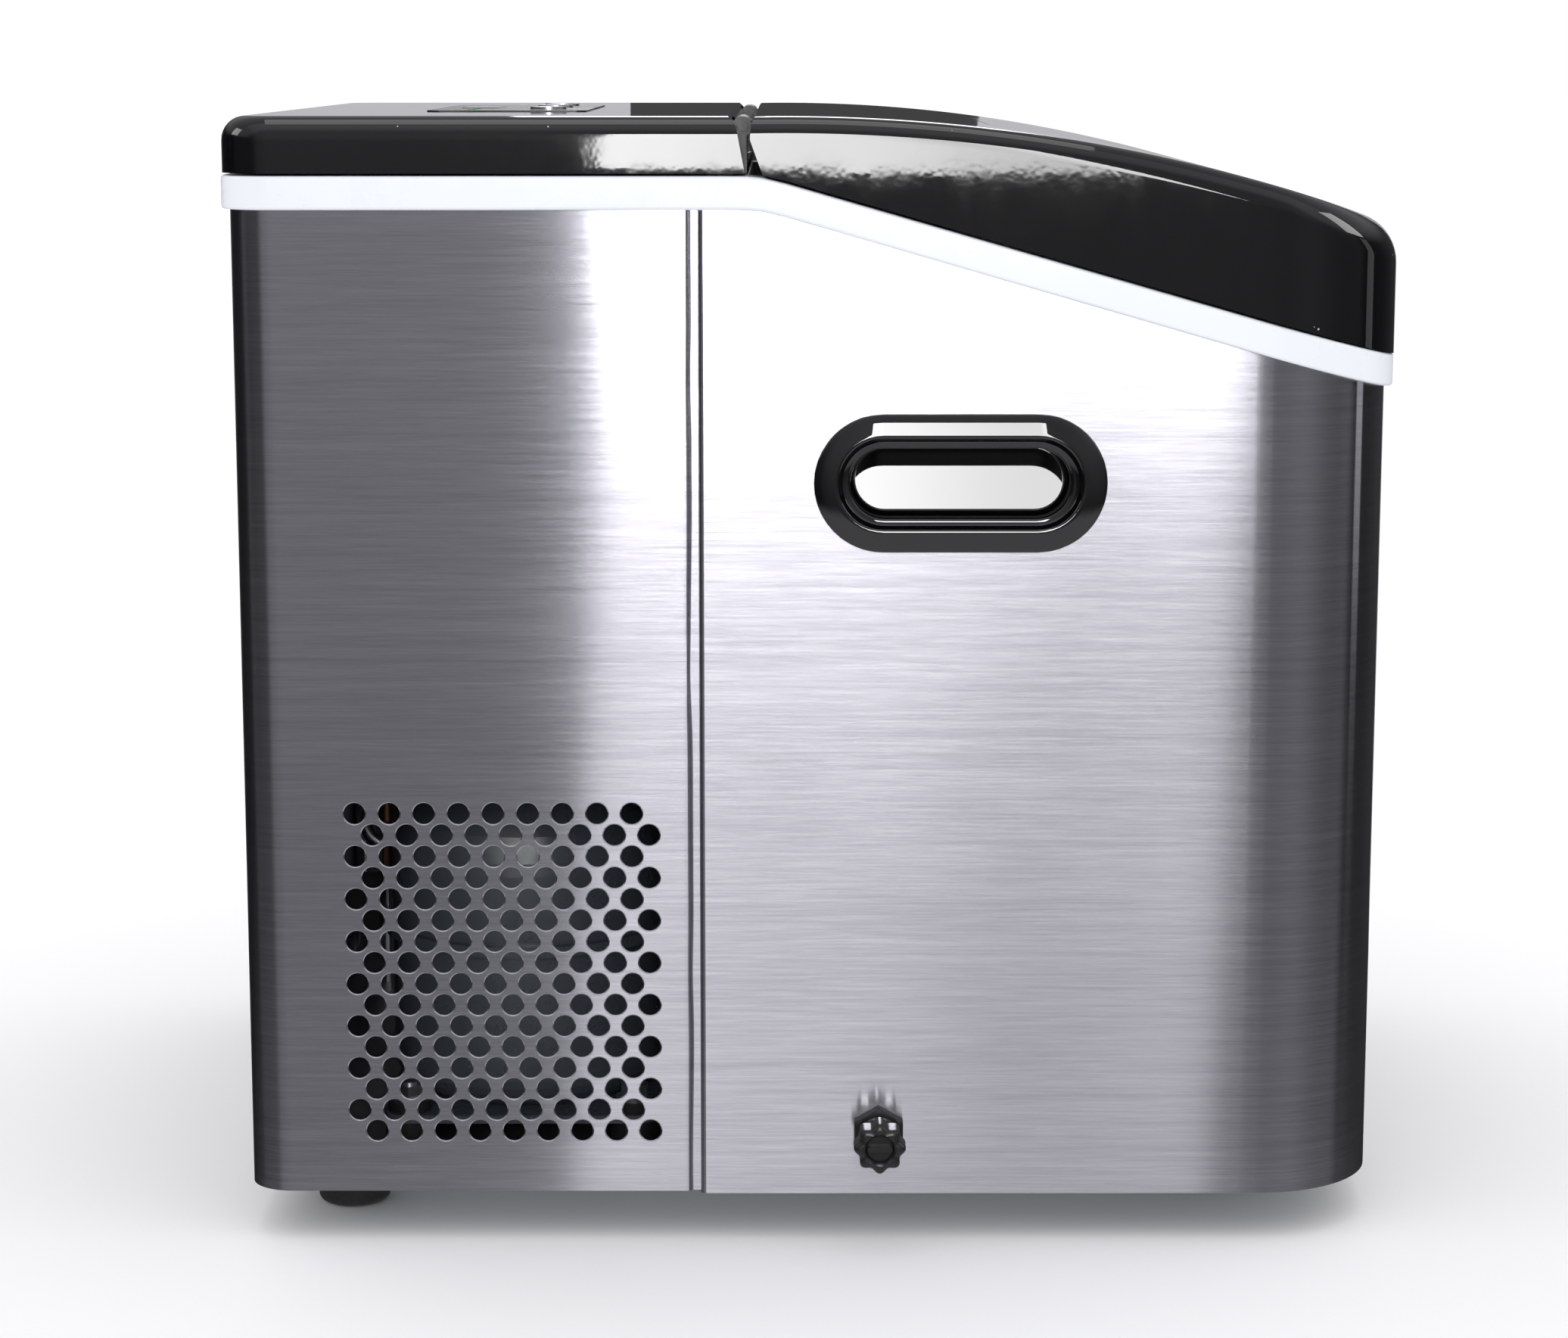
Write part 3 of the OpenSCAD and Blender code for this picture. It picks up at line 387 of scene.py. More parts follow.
# ---------------------------------------------------------------- materials
def add_node(tree, kind, inputs=None, **settings):
    """A shader node with its settings; each input is set to a value or linked to an output."""
    node = tree.nodes.new("ShaderNode" + kind)
    for name, value in settings.items():
        setattr(node, name, value)
    for socket, value in (inputs or {}).items():
        if isinstance(value, bpy.types.NodeSocket):
            tree.links.new(value, node.inputs[socket])
        else:
            node.inputs[socket].default_value = value
    return node


def maths(tree, operation, *values):
    """A Math node over outputs and numbers."""
    return add_node(tree, "Math", dict(enumerate(values)), operation=operation).outputs[0]


def remap(tree, value, low, high, from_low=0.3, from_high=0.7, kind="LINEAR"):
    node = add_node(tree, "MapRange", {"Value": value, "From Min": from_low, "From Max": from_high,
                                       "To Min": low, "To Max": high}, interpolation_type=kind)
    return node.outputs["Result"]


def noise(tree, scale, stretch=(1.0, 1.0, 1.0), detail=4.0, roughness=0.6, distortion=0.0):
    """Noise in the piece's own coordinates, in 1/m, stretched along each axis."""
    coords = add_node(tree, "TexCoord")
    mapping = add_node(tree, "Mapping", {"Vector": coords.outputs["Object"], "Scale": stretch})
    inputs = {"Vector": mapping.outputs["Vector"], "Scale": scale, "Detail": detail, "Roughness": roughness,
              "Distortion": distortion}
    texture = add_node(tree, "TexNoise", inputs)
    return texture.outputs["Fac"]


def tint(tree, value, colour_a, colour_b):
    """A mix of two colours; sockets 6 and 7 of a Mix node are its colours, and output 2 is the result."""
    inputs = {0: value, 6: (*colour_a, 1.0), 7: (*colour_b, 1.0)}
    return add_node(tree, "Mix", inputs, data_type="RGBA").outputs[2]


def bump(tree, height, distance_mm, strength=1.0, below=None):
    inputs = {"Height": height, "Distance": distance_mm * MM, "Strength": strength}
    if below is not None:
        inputs["Normal"] = below
    return add_node(tree, "Bump", inputs).outputs["Normal"]


def new_material(name, colour, roughness, metallic=0.0, **fixed):
    """A material with its constants on the shader's own sockets; returns it, its tree and a connector."""
    material = bpy.data.materials.new(name)
    material.use_nodes = True
    tree = material.node_tree
    sockets = tree.nodes["Principled BSDF"].inputs
    constants = {"Base Color": (*colour, 1.0), "Roughness": roughness, "Metallic": metallic}
    constants.update({socket.replace("_", " "): value for socket, value in fixed.items()})
    for socket, value in constants.items():
        sockets[socket].default_value = value
    return material, tree, lambda socket, output: tree.links.new(output, sockets[socket])


def shade(colour, factor):
    return tuple(min(1.0, c * factor) for c in colour)


TWIST_TOP, TWIST_LEAN = 0.33, 0.0075


def sheet_twist(tree):
    """Height in metres of a slight twist: none at the top, and leaning towards the rear lower down."""
    coords = add_node(tree, "TexCoord")
    split = add_node(tree, "SeparateXYZ", {"Vector": coords.outputs["Object"]})
    lean = remap(tree, split.outputs["Z"], TWIST_LEAN, 0.0, 0.0, TWIST_TOP)
    return maths(tree, "MULTIPLY", split.outputs["Y"], lean)


def brushed_steel(name):
    """Stainless sheet with a horizontal grain: long fine scratches and a slow waviness of the sheet."""
    material, tree, connect = new_material(name, (0.6, 0.6, 0.62), 0.13, 1.0, Anisotropic=1.0)
    scratch = noise(tree, 1.0, (40.0, 40.0, 14000.0), detail=1.0, roughness=0.5)
    fine = noise(tree, 1.0, (34.0, 34.0, 1500.0), detail=4.0, roughness=0.8)
    broad = noise(tree, 1.0, (8.0, 8.0, 420.0), detail=4.0, roughness=0.65)
    cloud = noise(tree, 6.0, detail=3.0)
    wave = noise(tree, 3.0, (1.0, 1.0, 0.8), detail=1.0, roughness=0.3)
    grain = remap(tree, maths(tree, "MULTIPLY_ADD", broad, 0.6, fine), 0.0, 1.0, 0.45, 1.2)
    connect("Base Color", tint(tree, grain, (0.505, 0.495, 0.55), (0.72, 0.71, 0.775)))
    grain_rough = remap(tree, grain, -0.008, 0.012, 0.0, 1.0)
    connect("Roughness", maths(tree, "ADD", grain_rough, remap(tree, cloud, 0.122, 0.138)))
    twisted = bump(tree, sheet_twist(tree), 1.0 / MM)
    waved = bump(tree, wave, 0.22, below=twisted)
    drawn = bump(tree, grain, 0.0012, below=waved)
    connect("Normal", bump(tree, scratch, 0.005, below=drawn))
    connect("Tangent", add_node(tree, "CombineXYZ", {"Z": 1.0}).outputs["Vector"])
    return material


def dust_specks(tree, colour, dust):
    """The colour with settled specks of a grey, of about 0.4 mm at the largest."""
    coords = add_node(tree, "TexCoord")
    cells = add_node(tree, "TexVoronoi", {"Scale": 210.0, "Vector": coords.outputs["Object"]})
    pick = add_node(tree, "SeparateColor", {"Color": cells.outputs["Color"]})
    size = remap(tree, pick.outputs["Red"], 0.0, 0.085, 0.66, 1.0)
    speck = maths(tree, "LESS_THAN", cells.outputs["Distance"], size)
    return tint(tree, speck, colour, (dust, dust, dust))


def gloss_plastic(name, colour, roughness, dust=0.0, wave_mm=0.25, **fixed):
    """Polished moulding with a faint ripple, smudges and, where asked for, settled dust."""
    material, tree, connect = new_material(name, colour, roughness, **fixed)
    smudge = noise(tree, 26.0, (1.0, 1.0, 0.7), detail=6.0, roughness=0.7, distortion=0.6)
    connect("Roughness", remap(tree, smudge, roughness * 0.7, roughness * 1.9, 0.42, 0.8))
    ripple = noise(tree, 14.0, detail=1.5, roughness=0.4)
    dimple = noise(tree, 150.0, detail=2.0, roughness=0.6)
    connect("Normal", bump(tree, dimple, wave_mm * 0.09, 0.5, below=bump(tree, ripple, wave_mm, 0.5)))
    if dust:
        connect("Base Color", dust_specks(tree, colour, dust))
    else:
        cloud = noise(tree, 9.0, detail=3.0)
        connect("Base Color", tint(tree, cloud, shade(colour, 0.94), shade(colour, 1.05)))
    return material


def textured_plastic(name, colour, roughness, grain_mm=0.03, scale=900.0, **fixed):
    """Moulded plastic or rubber with a fine spark-eroded texture."""
    material, tree, connect = new_material(name, colour, roughness, **fixed)
    cloud = noise(tree, 18.0, detail=4.0)
    fine = noise(tree, scale, detail=3.0)
    connect("Base Color", tint(tree, cloud, shade(colour, 0.88), shade(colour, 1.12)))
    connect("Roughness", remap(tree, fine, roughness * 0.85, min(1.0, roughness * 1.15)))
    connect("Normal", bump(tree, fine, grain_mm, 0.5))
    return material


def worked_metal(name, colour, roughness, stretch=(1.0, 1.0, 1.0), scale=120.0, stain=0.85):
    """Bare metal with drawing marks along one axis and slight staining."""
    material, tree, connect = new_material(name, colour, roughness, 1.0)
    marks = noise(tree, scale, stretch, detail=5.0, roughness=0.7)
    cloud = noise(tree, 14.0, detail=4.0)
    connect("Base Color", tint(tree, cloud, shade(colour, stain), colour))
    connect("Roughness", remap(tree, marks, roughness * 0.8, roughness * 1.3))
    connect("Normal", bump(tree, marks, 0.02, 0.5))
    return material


def clear_plastic(name, colour, roughness, transmission):
    """Clear or frosted moulding, slightly uneven."""
    clear = {"IOR": 1.49, "Transmission_Weight": transmission}
    material, tree, connect = new_material(name, colour, roughness, **clear)
    frost = noise(tree, 60.0, detail=3.0)
    connect("Roughness", remap(tree, frost, roughness * 0.8, roughness * 1.25))
    connect("Normal", bump(tree, frost, 0.02, 0.3))
    return material


STEEL = brushed_steel("steel")
GLOSS_BLACK = gloss_plastic("gloss_black", (0.0025, 0.0025, 0.003), 0.035, dust=0.55, IOR=1.7)
CUP_BLACK = gloss_plastic("cup_black", (0.002, 0.002, 0.0025), 0.03, wave_mm=0.06, IOR=1.85)
TRIM_WHITE = gloss_plastic("trim_white", (0.86, 0.885, 0.93), 0.32, wave_mm=0.1)
LINER_WHITE = textured_plastic("liner_white", (0.78, 0.79, 0.80), 0.38, grain_mm=0.01)
MATTE_BLACK = textured_plastic("matte_black", (0.012, 0.012, 0.013), 0.34, grain_mm=0.02)
SHROUD_GREY = textured_plastic("shroud_grey", (0.085, 0.095, 0.115), 0.4, grain_mm=0.02)
RUBBER_BLACK = textured_plastic("rubber_black", (0.014, 0.014, 0.015), 0.7, grain_mm=0.05)
RUBBER_GREY = textured_plastic("rubber_grey", (0.16, 0.16, 0.165), 0.7, grain_mm=0.04)
SILICONE = textured_plastic("silicone", (0.74, 0.72, 0.66), 0.4, grain_mm=0.01, Subsurface_Weight=0.2)
FOAM = textured_plastic("foam", (0.74, 0.62, 0.34), 0.9, grain_mm=0.4, scale=240.0)
PANEL_DARK = gloss_plastic("panel_dark", (0.03, 0.03, 0.034), 0.22, wave_mm=0.02)
DISPLAY = gloss_plastic("display", (0.003, 0.004, 0.006), 0.06, wave_mm=0.02)
BUTTON_SILVER = worked_metal("button_silver", (0.62, 0.63, 0.65), 0.3, (900.0, 4.0, 4.0), 1.0)
ZINC = worked_metal("zinc", (0.66, 0.67, 0.69), 0.28)
GALVANISED = worked_metal("galvanised", (0.52, 0.54, 0.56), 0.42, scale=40.0, stain=0.7)
ALUMINIUM = worked_metal("aluminium", (0.68, 0.69, 0.71), 0.34, (1.0, 1.0, 30.0))
NICKEL = worked_metal("nickel", (0.66, 0.65, 0.62), 0.2)
COPPER = worked_metal("copper", (0.66, 0.33, 0.2), 0.3, stain=0.6)
BRASS = worked_metal("brass", (0.66, 0.5, 0.22), 0.3, stain=0.75)
MOTOR = worked_metal("motor", (0.5, 0.51, 0.53), 0.38, (1.0, 30.0, 30.0))
ENAMEL = gloss_plastic("enamel", (0.042, 0.047, 0.058), 0.3, wave_mm=0.3)
BOARD = textured_plastic("board", (0.012, 0.11, 0.05), 0.35, grain_mm=0.02, scale=500.0)
LENS = gloss_plastic("lens", (0.1, 0.55, 0.2), 0.15, wave_mm=0.02, Transmission_Weight=0.5)
SMOKED = clear_plastic("smoked", (0.16, 0.165, 0.18), 0.05, 0.85)
FROSTED = clear_plastic("frosted", (0.86, 0.92, 0.97), 0.28, 0.8)

# ---------------------------------------------------------------- steel panels
STEEL_SKINS = ("front_panel_skin", "rear_panel_skin")


def vent_holes():
    """Staggered rows of round holes, from the top rear one."""
    holes = []
    for row in range(VENT_ROWS):
        for column in range(VENT_COLUMNS):
            y = VENT_Y - VENT_STEP_Y * (column + (row % 2) / 2)
            holes.append(moved(circle(VENT_R, 20), y, VENT_Z - VENT_STEP_Z * row))
    return holes


def wall_strip(bm, plan, low, top):
    """A thin upright sheet along open plan points, from z = low up to top(y)."""
    face, back = offset(plan, 0.0), offset(plan, -SHEET)
    rings = [[point(x, y, low) for x, y in face], [point(x, y, top(y)) for x, y in face],
             [point(x, y, top(y)) for x, y in back], [point(x, y, low) for x, y in back]]
    loft(bm, rings + rings[:1], closed=False)


def flat_ends(plan):
    """Adds a short flat run at both ends of a bent strip, so its shading meets the flat plate's."""
    ends = []
    for end, inner in ((plan[0], plan[1]), (plan[-1], plan[-2])):
        along = Vector((-end[3], end[2]))
        if along.dot(Vector(end[:2]) - Vector(inner[:2])) < 0:
            along.negate()
        ends.append((end[0] + along.x * FLAT_END, end[1] + along.y * FLAT_END, end[2], end[3]))
    return [ends[0]] + plan + [ends[1]]


def steel_height(y):
    return trim_top(y) - STEEL_TOP


def build_front_panel():
    """The front bend as a strip, and each side as a plate with a rolled edge at the seam."""
    bm = new_bmesh()
    low = front_low.z
    wall_strip(bm, flat_ends([p for p in round_front(SEAM_Y) if p[1] <= CORNER_Y + 1e-6]), low, steel_height)
    bend = [BEND_Y + d for d in (9, 5, 2.5, 0, -2.5, -5, -9)]
    end = CORNER_Y + FLAT_END
    roll = SEAM_Y - EDGE_ROLL
    top_edge = [(y, steel_height(y)) for y in [roll] + bend + spread(BEND_Y - 20, end, 6) + [end]]
    outer = [(end, low), (roll, low)] + top_edge
    for side in (-1, 1):
        holes = [moved(stadium(CUP_HOLE_W, CUP_HOLE_H), CUP_Y, CUP_Z)]
        if side < 0:
            holes.append(moved(circle(DRAIN_HOLE_R), DRAIN_Y, DRAIN_Z))
        plate(bm, outer, holes, from_side(side))
        hem = [(roll, 0.0), (roll + 0.45, 0.03), (roll + 0.85, 0.14), (roll + 1.2, 0.36), (roll + 1.6, 0.66),
               (SEAM_Y, 1.0), (SEAM_Y, SHEET + 0.25), (SEAM_Y - 3, SHEET + 0.3)]
        rings = [[point(side * (HALF_W - w), y, z) for y, w in hem] for z in (low, steel_height(SEAM_Y))]
        loft(bm, rings, closed=False)
    piece("front_panel_skin", bm, STEEL, "cabinet", ["front_panel"])


def seam_wave(z):
    """Sideways waviness of the rolled edge beside the seam, in millimetres."""
    return 0.55 * max(0.0, math.sin(z / 31.0 + 0.7)) ** 2 + 0.35 * max(0.0, math.sin(z / 17.0 + 2.0)) ** 3


def build_rear_panel():
    """Two corner strips, the back plate, and each side as a vented plate joggled in at the seam."""
    bm = new_bmesh()
    low, high = rear_low.z, TRIM_Z - STEEL_TOP
    flat_end = REAR_Y - REAR_R
    plate_end = flat_end - FLAT_END
    plan = [p for p in round_rear(JOGGLE_Y) if p[1] >= flat_end - 1e-6]
    left = [p for p in plan if p[0] <= REAR_R - HALF_W + 1e-6]
    right = [p for p in plan if p[0] >= HALF_W - REAR_R - 1e-6]
    for corner in (left, right):
        wall_strip(bm, flat_ends(corner), low, lambda y: high)
    edge = JOGGLE_Y + 2.4
    outer = [(edge, low), (plate_end, low), (plate_end, high), (edge, high)]
    for side in (-1, 1):
        plate(bm, outer, vent_holes(), from_side(side), VENT_LIP)
        rings = []
        for k in range(JOGGLE_ROWS + 1):
            z = low + (high - low) * k / JOGGLE_ROWS
            j = JOGGLE_Y + seam_wave(z)
            fold = [(edge, 0.0), (JOGGLE_Y + 1.2, 0.01), (j + 0.45, 0.1), (j + 0.15, 0.35), (j - 0.15, 0.85),
                    (j - 0.4, 1.18), (j - 0.7, 1.28), (j - 1.1, JOGGLE_IN), (TONGUE_Y, JOGGLE_IN)]
            rings.append([point(side * (HALF_W - d), y, z) for y, d in fold])
        loft(bm, rings, closed=False)
    half = HALF_W - REAR_R - FLAT_END
    inlet_low, inlet_high = box_mm("power_inlet")
    x0, x1 = inlet_low.x - MID_X + INLET_LAP_X, inlet_high.x - MID_X - INLET_LAP_X
    inlet = rounded_rect(x0, x1, inlet_low.z + INLET_LAP_Z, inlet_high.z - INLET_LAP_Z, 2, 3)
    back = [(-half, low), (half, low), (half, high), (-half, high)]
    plate(bm, back, [inlet], lambda u, v, w: point(u, REAR_Y - w, v))
    piece("rear_panel_skin", bm, STEEL, "cabinet", ["rear_panel"])


# ---------------------------------------------------------------- trim, cover and lid
def build_trim():
    """The white band: a rounded section swept round the cabinet, following the bend."""
    start = BEND_Y + 14
    plan = round_front(start, sides=26) + round_rear(start, sides=2)[1:-1]
    e = TRIM_EDGE_R
    section = [(-LEDGE_IN, 0.0), (TRIM_OUT - e, 0.0)]
    for k in range(1, 5):
        a = math.pi / 2 * (1 - k / 4)
        section.append((TRIM_OUT - e + e * math.cos(a), -e + e * math.sin(a)))
    for k in range(5):
        a = -math.pi / 2 * k / 4
        section.append((TRIM_OUT - e + e * math.cos(a), -TRIM_H + e + e * math.sin(a)))
    section += [(LEDGE_LAP, -TRIM_H), (LEDGE_LAP, -LEDGE_H), (-LEDGE_IN, -LEDGE_H)]
    rings = []
    for out, dz in section + section[:1]:
        rings.append([point(x, y, trim_top(p[1]) + dz) for (x, y), p in zip(offset(plan, out), plan)])
    bm = new_bmesh()
    loft(bm, rings)
    low, high, half = TRIM_Z - LEDGE_H, TRIM_Z, BAR_HALF_W
    bar = [(-half, low), (half, low), (half, high), (-half, high)]
    prism(bm, [[point(x, y, z) for x, z in bar] for y in BAR_Y])
    piece("trim_band", bm, TRIM_WHITE, "cabinet", ["trim_frame"])


def cover_front(z):
    """Where the cover's front end lies at height z: a slant up to a knee, then a softer curve back."""
    knee = TOP_Z - COVER_FALL
    if z > knee:
        return 30.6 + 3 * ((z - knee) / COVER_FALL) ** 1.6
    return 27.5 + 3.1 * (z - TRIM_Z) / (knee - TRIM_Z)


def cover_rings(inset):
    """Closed plan rings from the cover's lower edge up to its flat top."""
    r = COVER_EDGE_R - inset
    levels = [(0.0, TRIM_Z + GAP), (0.0, TOP_Z - COVER_EDGE_R)]
    for k in range(1, 9):
        a = math.pi / 2 * k / 8
        levels.append((-r * (1 - math.cos(a)), TOP_Z - inset - r * (1 - math.sin(a))))
    rings = []
    for out, z in levels:
        plan = round_rear(cover_front(z) + inset, sides=3)
        rings.append([point(x, y, z) for x, y in offset(plan, COVER_OUT - inset + out)])
    return rings


def hinge_span(side, clearance):
    """The hinge's reach along x on one side, widened by a clearance, lower value first."""
    return sorted((side * (HINGE_X[0] - clearance), side * (HINGE_X[1] + clearance)))


def build_cover():
    """The fixed cover, cut for the control panel and for the lid's hinges."""
    bm = shell(cover_rings(0.0), cover_rings(WALL))
    obj = piece("rear_cover_shell", bm, GLOSS_BLACK, "cabinet", ["rear_cover"])
    panel_low, panel_high = box_mm("control_panel")
    x = (panel_high.x - panel_low.x) / 2 + FIT
    recess = rounded_rect(-x, x, panel_low.y - FIT, panel_high.y + FIT, 5.2)
    cutters = [cutter(recess, point, TOP_Z - 12, TOP_Z + 3)]
    for side in (-1, 1):
        x0, x1 = hinge_span(side, 6.0)
        slot = [(x0, 20), (x1, 20), (x1, HINGE_Y + 5), (x0, HINGE_Y + 5)]
        cutters.append(cutter(slot, point, TRIM_Z - 4, HINGE_Z))
        cutters.append(round_bore(BARREL_R + 1.2, x0, x1))
    cut(obj, cutters)


def lid_edge(p):
    """Radius of the lid's upper edge: wide at the nose, tighter along the sides."""
    forward = max(0.0, -p[3])
    blend = forward * forward * (3 - 2 * forward)
    return LID_EDGE_R + (NOSE_R - LID_EDGE_R) * blend


def lid_rear(level):
    """Where the lid's rear end lies; level runs from 0 at its lower edge to 1 at the top surface."""
    if level < 0.5:
        return 21.4 + 4.4 * level / 0.5
    return 25.8 - 2.2 * ((level - 0.5) / 0.5) ** 1.8


def lid_rings(inset):
    """Closed plan rings from the lid's lower edge, along the bent trim, up to its long curved top."""
    steps = 9
    lower = offset(round_front(lid_rear(0.0) - inset, sides=30), LID_OUT - inset)
    rings = [[point(x, y, trim_top(y) + GAP) for x, y in lower]]
    for k in range(steps + 1):
        level = 0.5 + 0.5 * k / steps
        ring = []
        for p in round_front(lid_rear(level) - inset, sides=30):
            r = lid_edge(p) - inset
            centre_out = LID_OUT - inset - r
            end = math.pi / 2
            for _ in range(3):
                y_end = p[1] + p[3] * (centre_out + r * math.cos(end))
                end = math.pi / 2 - math.atan(lid_fall(y_end) * -p[3])
            # seen square to the wall the top falls outwards, so its offset is measured along its normal
            centre_z = lid_top(y_end) - inset - r * math.sin(end)
            a = end * k / steps
            out = centre_out + r * math.cos(a)
            ring.append(point(p[0] + p[2] * out, p[1] + p[3] * out, centre_z + r * math.sin(a)))
        rings.append(ring)
    return rings


def build_lid():
    """The lid, cut for its window and clear of the hinge brackets."""
    bm = shell(lid_rings(0.0), lid_rings(WALL))
    obj = piece("lid_shell", bm, GLOSS_BLACK, "lid", ["lid"])
    x = WINDOW_X + FIT
    hole = rounded_rect(-x, x, WINDOW_Y[0] - FIT, WINDOW_Y[1] + FIT, WINDOW_R + 0.2, 8)
    cutters = [cutter(hole, point, TOP_Z - 60, TOP_Z + 5)]
    for side in (-1, 1):
        cutters.append(round_bore(BARREL_R + 0.8, *hinge_span(side, 5.5)))
    cut(obj, cutters)


def build_hinge_barrels():
    """The lid's two barrels, bored for the pins, with the web that joins them to the lid."""
    for side, name in ((-1, "left"), (1, "right")):
        bm = new_bmesh()
        x0, x1 = side * HINGE_X[0], side * HINGE_X[1]
        chamfer = side * 0.4
        profile = [(PIN_BORE_R, x0), (BARREL_FACE_R, x0), (BARREL_R, x0 + chamfer), (BARREL_R, x1 - chamfer),
                   (BARREL_FACE_R, x1), (PIN_BORE_R, x1)]
        rings = [[point(x, HINGE_Y + u, HINGE_Z + v) for u, v in circle(r, 32)] for r, x in profile]
        loft(bm, rings + rings[:1])
        web = [(20.0, -3.4), (HINGE_Y - 2.2, -3.4), (HINGE_Y - 3.0, -0.4), (20.0, -0.4)]
        prism(bm, [[point(x, y, HINGE_Z + z) for y, z in web] for x in (x0, x1)])
        piece(f"lid_barrel_{name}", bm, MATTE_BLACK, "lid")


def curved_patch(name, x_half, y0, y1, r, top, bottom, material, body, replaces=(), hole=None):
    """A rounded rectangle laid on the lid's curve, between two depths below it; hole is a frame's width."""
    bm = new_bmesh()
    rows, turns = 14, [math.pi / 2 * k / 6 for k in range(7)]
    rear, front = y1 - r, y0 + r
    half = [(x_half - r + r * math.sin(a), rear + r * math.cos(a)) for a in turns]
    half += [(x_half, rear + (front - rear) * k / rows) for k in range(1, rows)]
    half += [(x_half - r + r * math.cos(a), front - r * math.sin(a)) for a in turns]
    outline = half + [(-x, y) for x, y in reversed(half)]
    if hole is None:
        rings = []
        for grow, drop in ((-0.5, top), (0.0, top + 0.4), (0.0, bottom - 0.3), (-0.3, bottom)):
            rings.append([point(x, y, lid_top(y) - drop) for x, y in grown(outline, grow)])
        made = loft(bm, rings)
        fill_rows(bm, made[0])
        fill_rows(bm, made[-1])
    else:
        middle = (y0 + y1) / 2
        kx, ky = 1 - hole / x_half, 1 - 2 * hole / (y1 - y0)
        inner = [(x * kx, (y - middle) * ky + middle) for x, y in outline]
        rings = []
        for loop, drop in ((outline, top), (outline, bottom), (inner, bottom), (inner, top), (outline, top)):
            rings.append([point(x, y, lid_top(y) - drop) for x, y in loop])
        loft(bm, rings)
    piece(name, bm, material, body, replaces)


# ---------------------------------------------------------------- side fittings
def build_cup(side, name, node):
    """A recessed grip: a domed flange, a rounded rim, and a pocket that is deeper at its top."""
    bm = new_bmesh()

    def stadium_ring(width, height, proud):
        x = side * (HALF_W + proud)
        return [point(x, CUP_Y + u, CUP_Z + v) for u, v in stadium(width, height)]

    flange = [(103.6, 49.0, 0.15), (103.5, 48.9, 0.75), (102.6, 48.0, 1.15), (97.0, 42.5, 2.3)]
    rim = [(90.5, 36.2, 3.1), (89.0, 34.8, 3.3), (87.4, 33.4, 3.3), (86.2, 32.2, 2.9), (85.2, 31.2, 1.9),
           (84.2, 30.2, 0.9), (82.8, 29.0, 0.2)]
    mouth = [(80.5, 27.0, -0.1), (79.0, 25.6, -0.3), (78.2, 24.9, -0.9), (77.9, 24.6, -1.8)]
    rings = [stadium_ring(*size) for size in flange + rim + mouth]
    floor_low, floor_high = 11.0, 18.5
    for share, shrink in ((0.55, 0.1), (0.88, 0.3), (0.97, 0.9), (1.0, 1.9)):
        ring = []
        for u, v in stadium(77.6 - shrink * 2, 24.4 - shrink * 2):
            depth = floor_low + (floor_high - floor_low) * (v + 12.2) / 24.4
            ring.append(point(side * (HALF_W - depth * share), CUP_Y + u, CUP_Z + v))
        rings.append(ring)
    floor = loft(bm, rings)[-1]
    bm.faces.new(floor)
    back = [(103.6, 49.0, 0.15), (86.0, 33.0, 0.1), (84.0, 31.0, -0.6), (84.0, 31.0, -21.0),
            (82.0, 29.0, -22.0)]
    bm.faces.new(loft(bm, [stadium_ring(*size) for size in back])[-1])
    piece(name, bm, CUP_BLACK, "cabinet", [node], sharp=50.0)


def ring_x(x, count, reach):
    """A ring round the drain's axis, which lies along x; reach(angle) is its radius."""
    ring = []
    for k in range(count):
        a = math.tau * k / count
        r = reach(a)
        ring.append(point(x, DRAIN_Y + r * math.cos(a), DRAIN_Z + r * math.sin(a)))
    return ring


CAP_LOBES, LOBE_DEPTH = 8, 1.5
NUT_HALF_FLATS = 8.75


def build_cap():
    """The lobed drain cap: a hollow turned shape with a grip bar across its face."""
    cap_low, cap_high = box_mm("drain_cap")
    outer_x = cap_low.x - MID_X
    inner_x = cap_high.x - MID_X
    cap = new_bmesh()
    profile = [(4.6, outer_x + 2.2, False), (4.9, outer_x + 0.9, False), (5.6, outer_x + 0.25, False),
               (7.0, outer_x, True), (8.6, outer_x + 0.5, True), (9.3, outer_x + 1.6, True),
               (9.35, outer_x + 9.8, True), (8.9, outer_x + 11.0, True), (7.9, outer_x + 11.6, False),
               (7.7, inner_x, False), (6.1, inner_x, False), (6.1, outer_x + 5.0, False)]
    rings = []
    for r, x, lobed in profile:
        depth = LOBE_DEPTH if lobed else 0.0
        rings.append(ring_x(x, 96, lambda a: r + depth * (math.cos(CAP_LOBES * a) - 1) / 2))
    prism(cap, rings)
    bar = rounded_rect(DRAIN_Y - 4.4, DRAIN_Y + 4.4, DRAIN_Z - 1.1, DRAIN_Z + 1.1, 0.9, 3)
    ends = loft(cap, [[point(x, u, v) for u, v in bar] for x in (outer_x + 0.3, outer_x + 2.3)])
    cap.faces.new(ends[0])
    piece("drain_cap_shell", cap, MATTE_BLACK, "drain_cap", ["drain_cap"], sharp=55.0)


def hexagon(a):
    """How far the nut's flats lie from its axis in the direction a."""
    to_flat = (a - math.pi / 2) % (math.pi / 3) - math.pi / 6
    return NUT_HALF_FLATS / math.cos(to_flat)


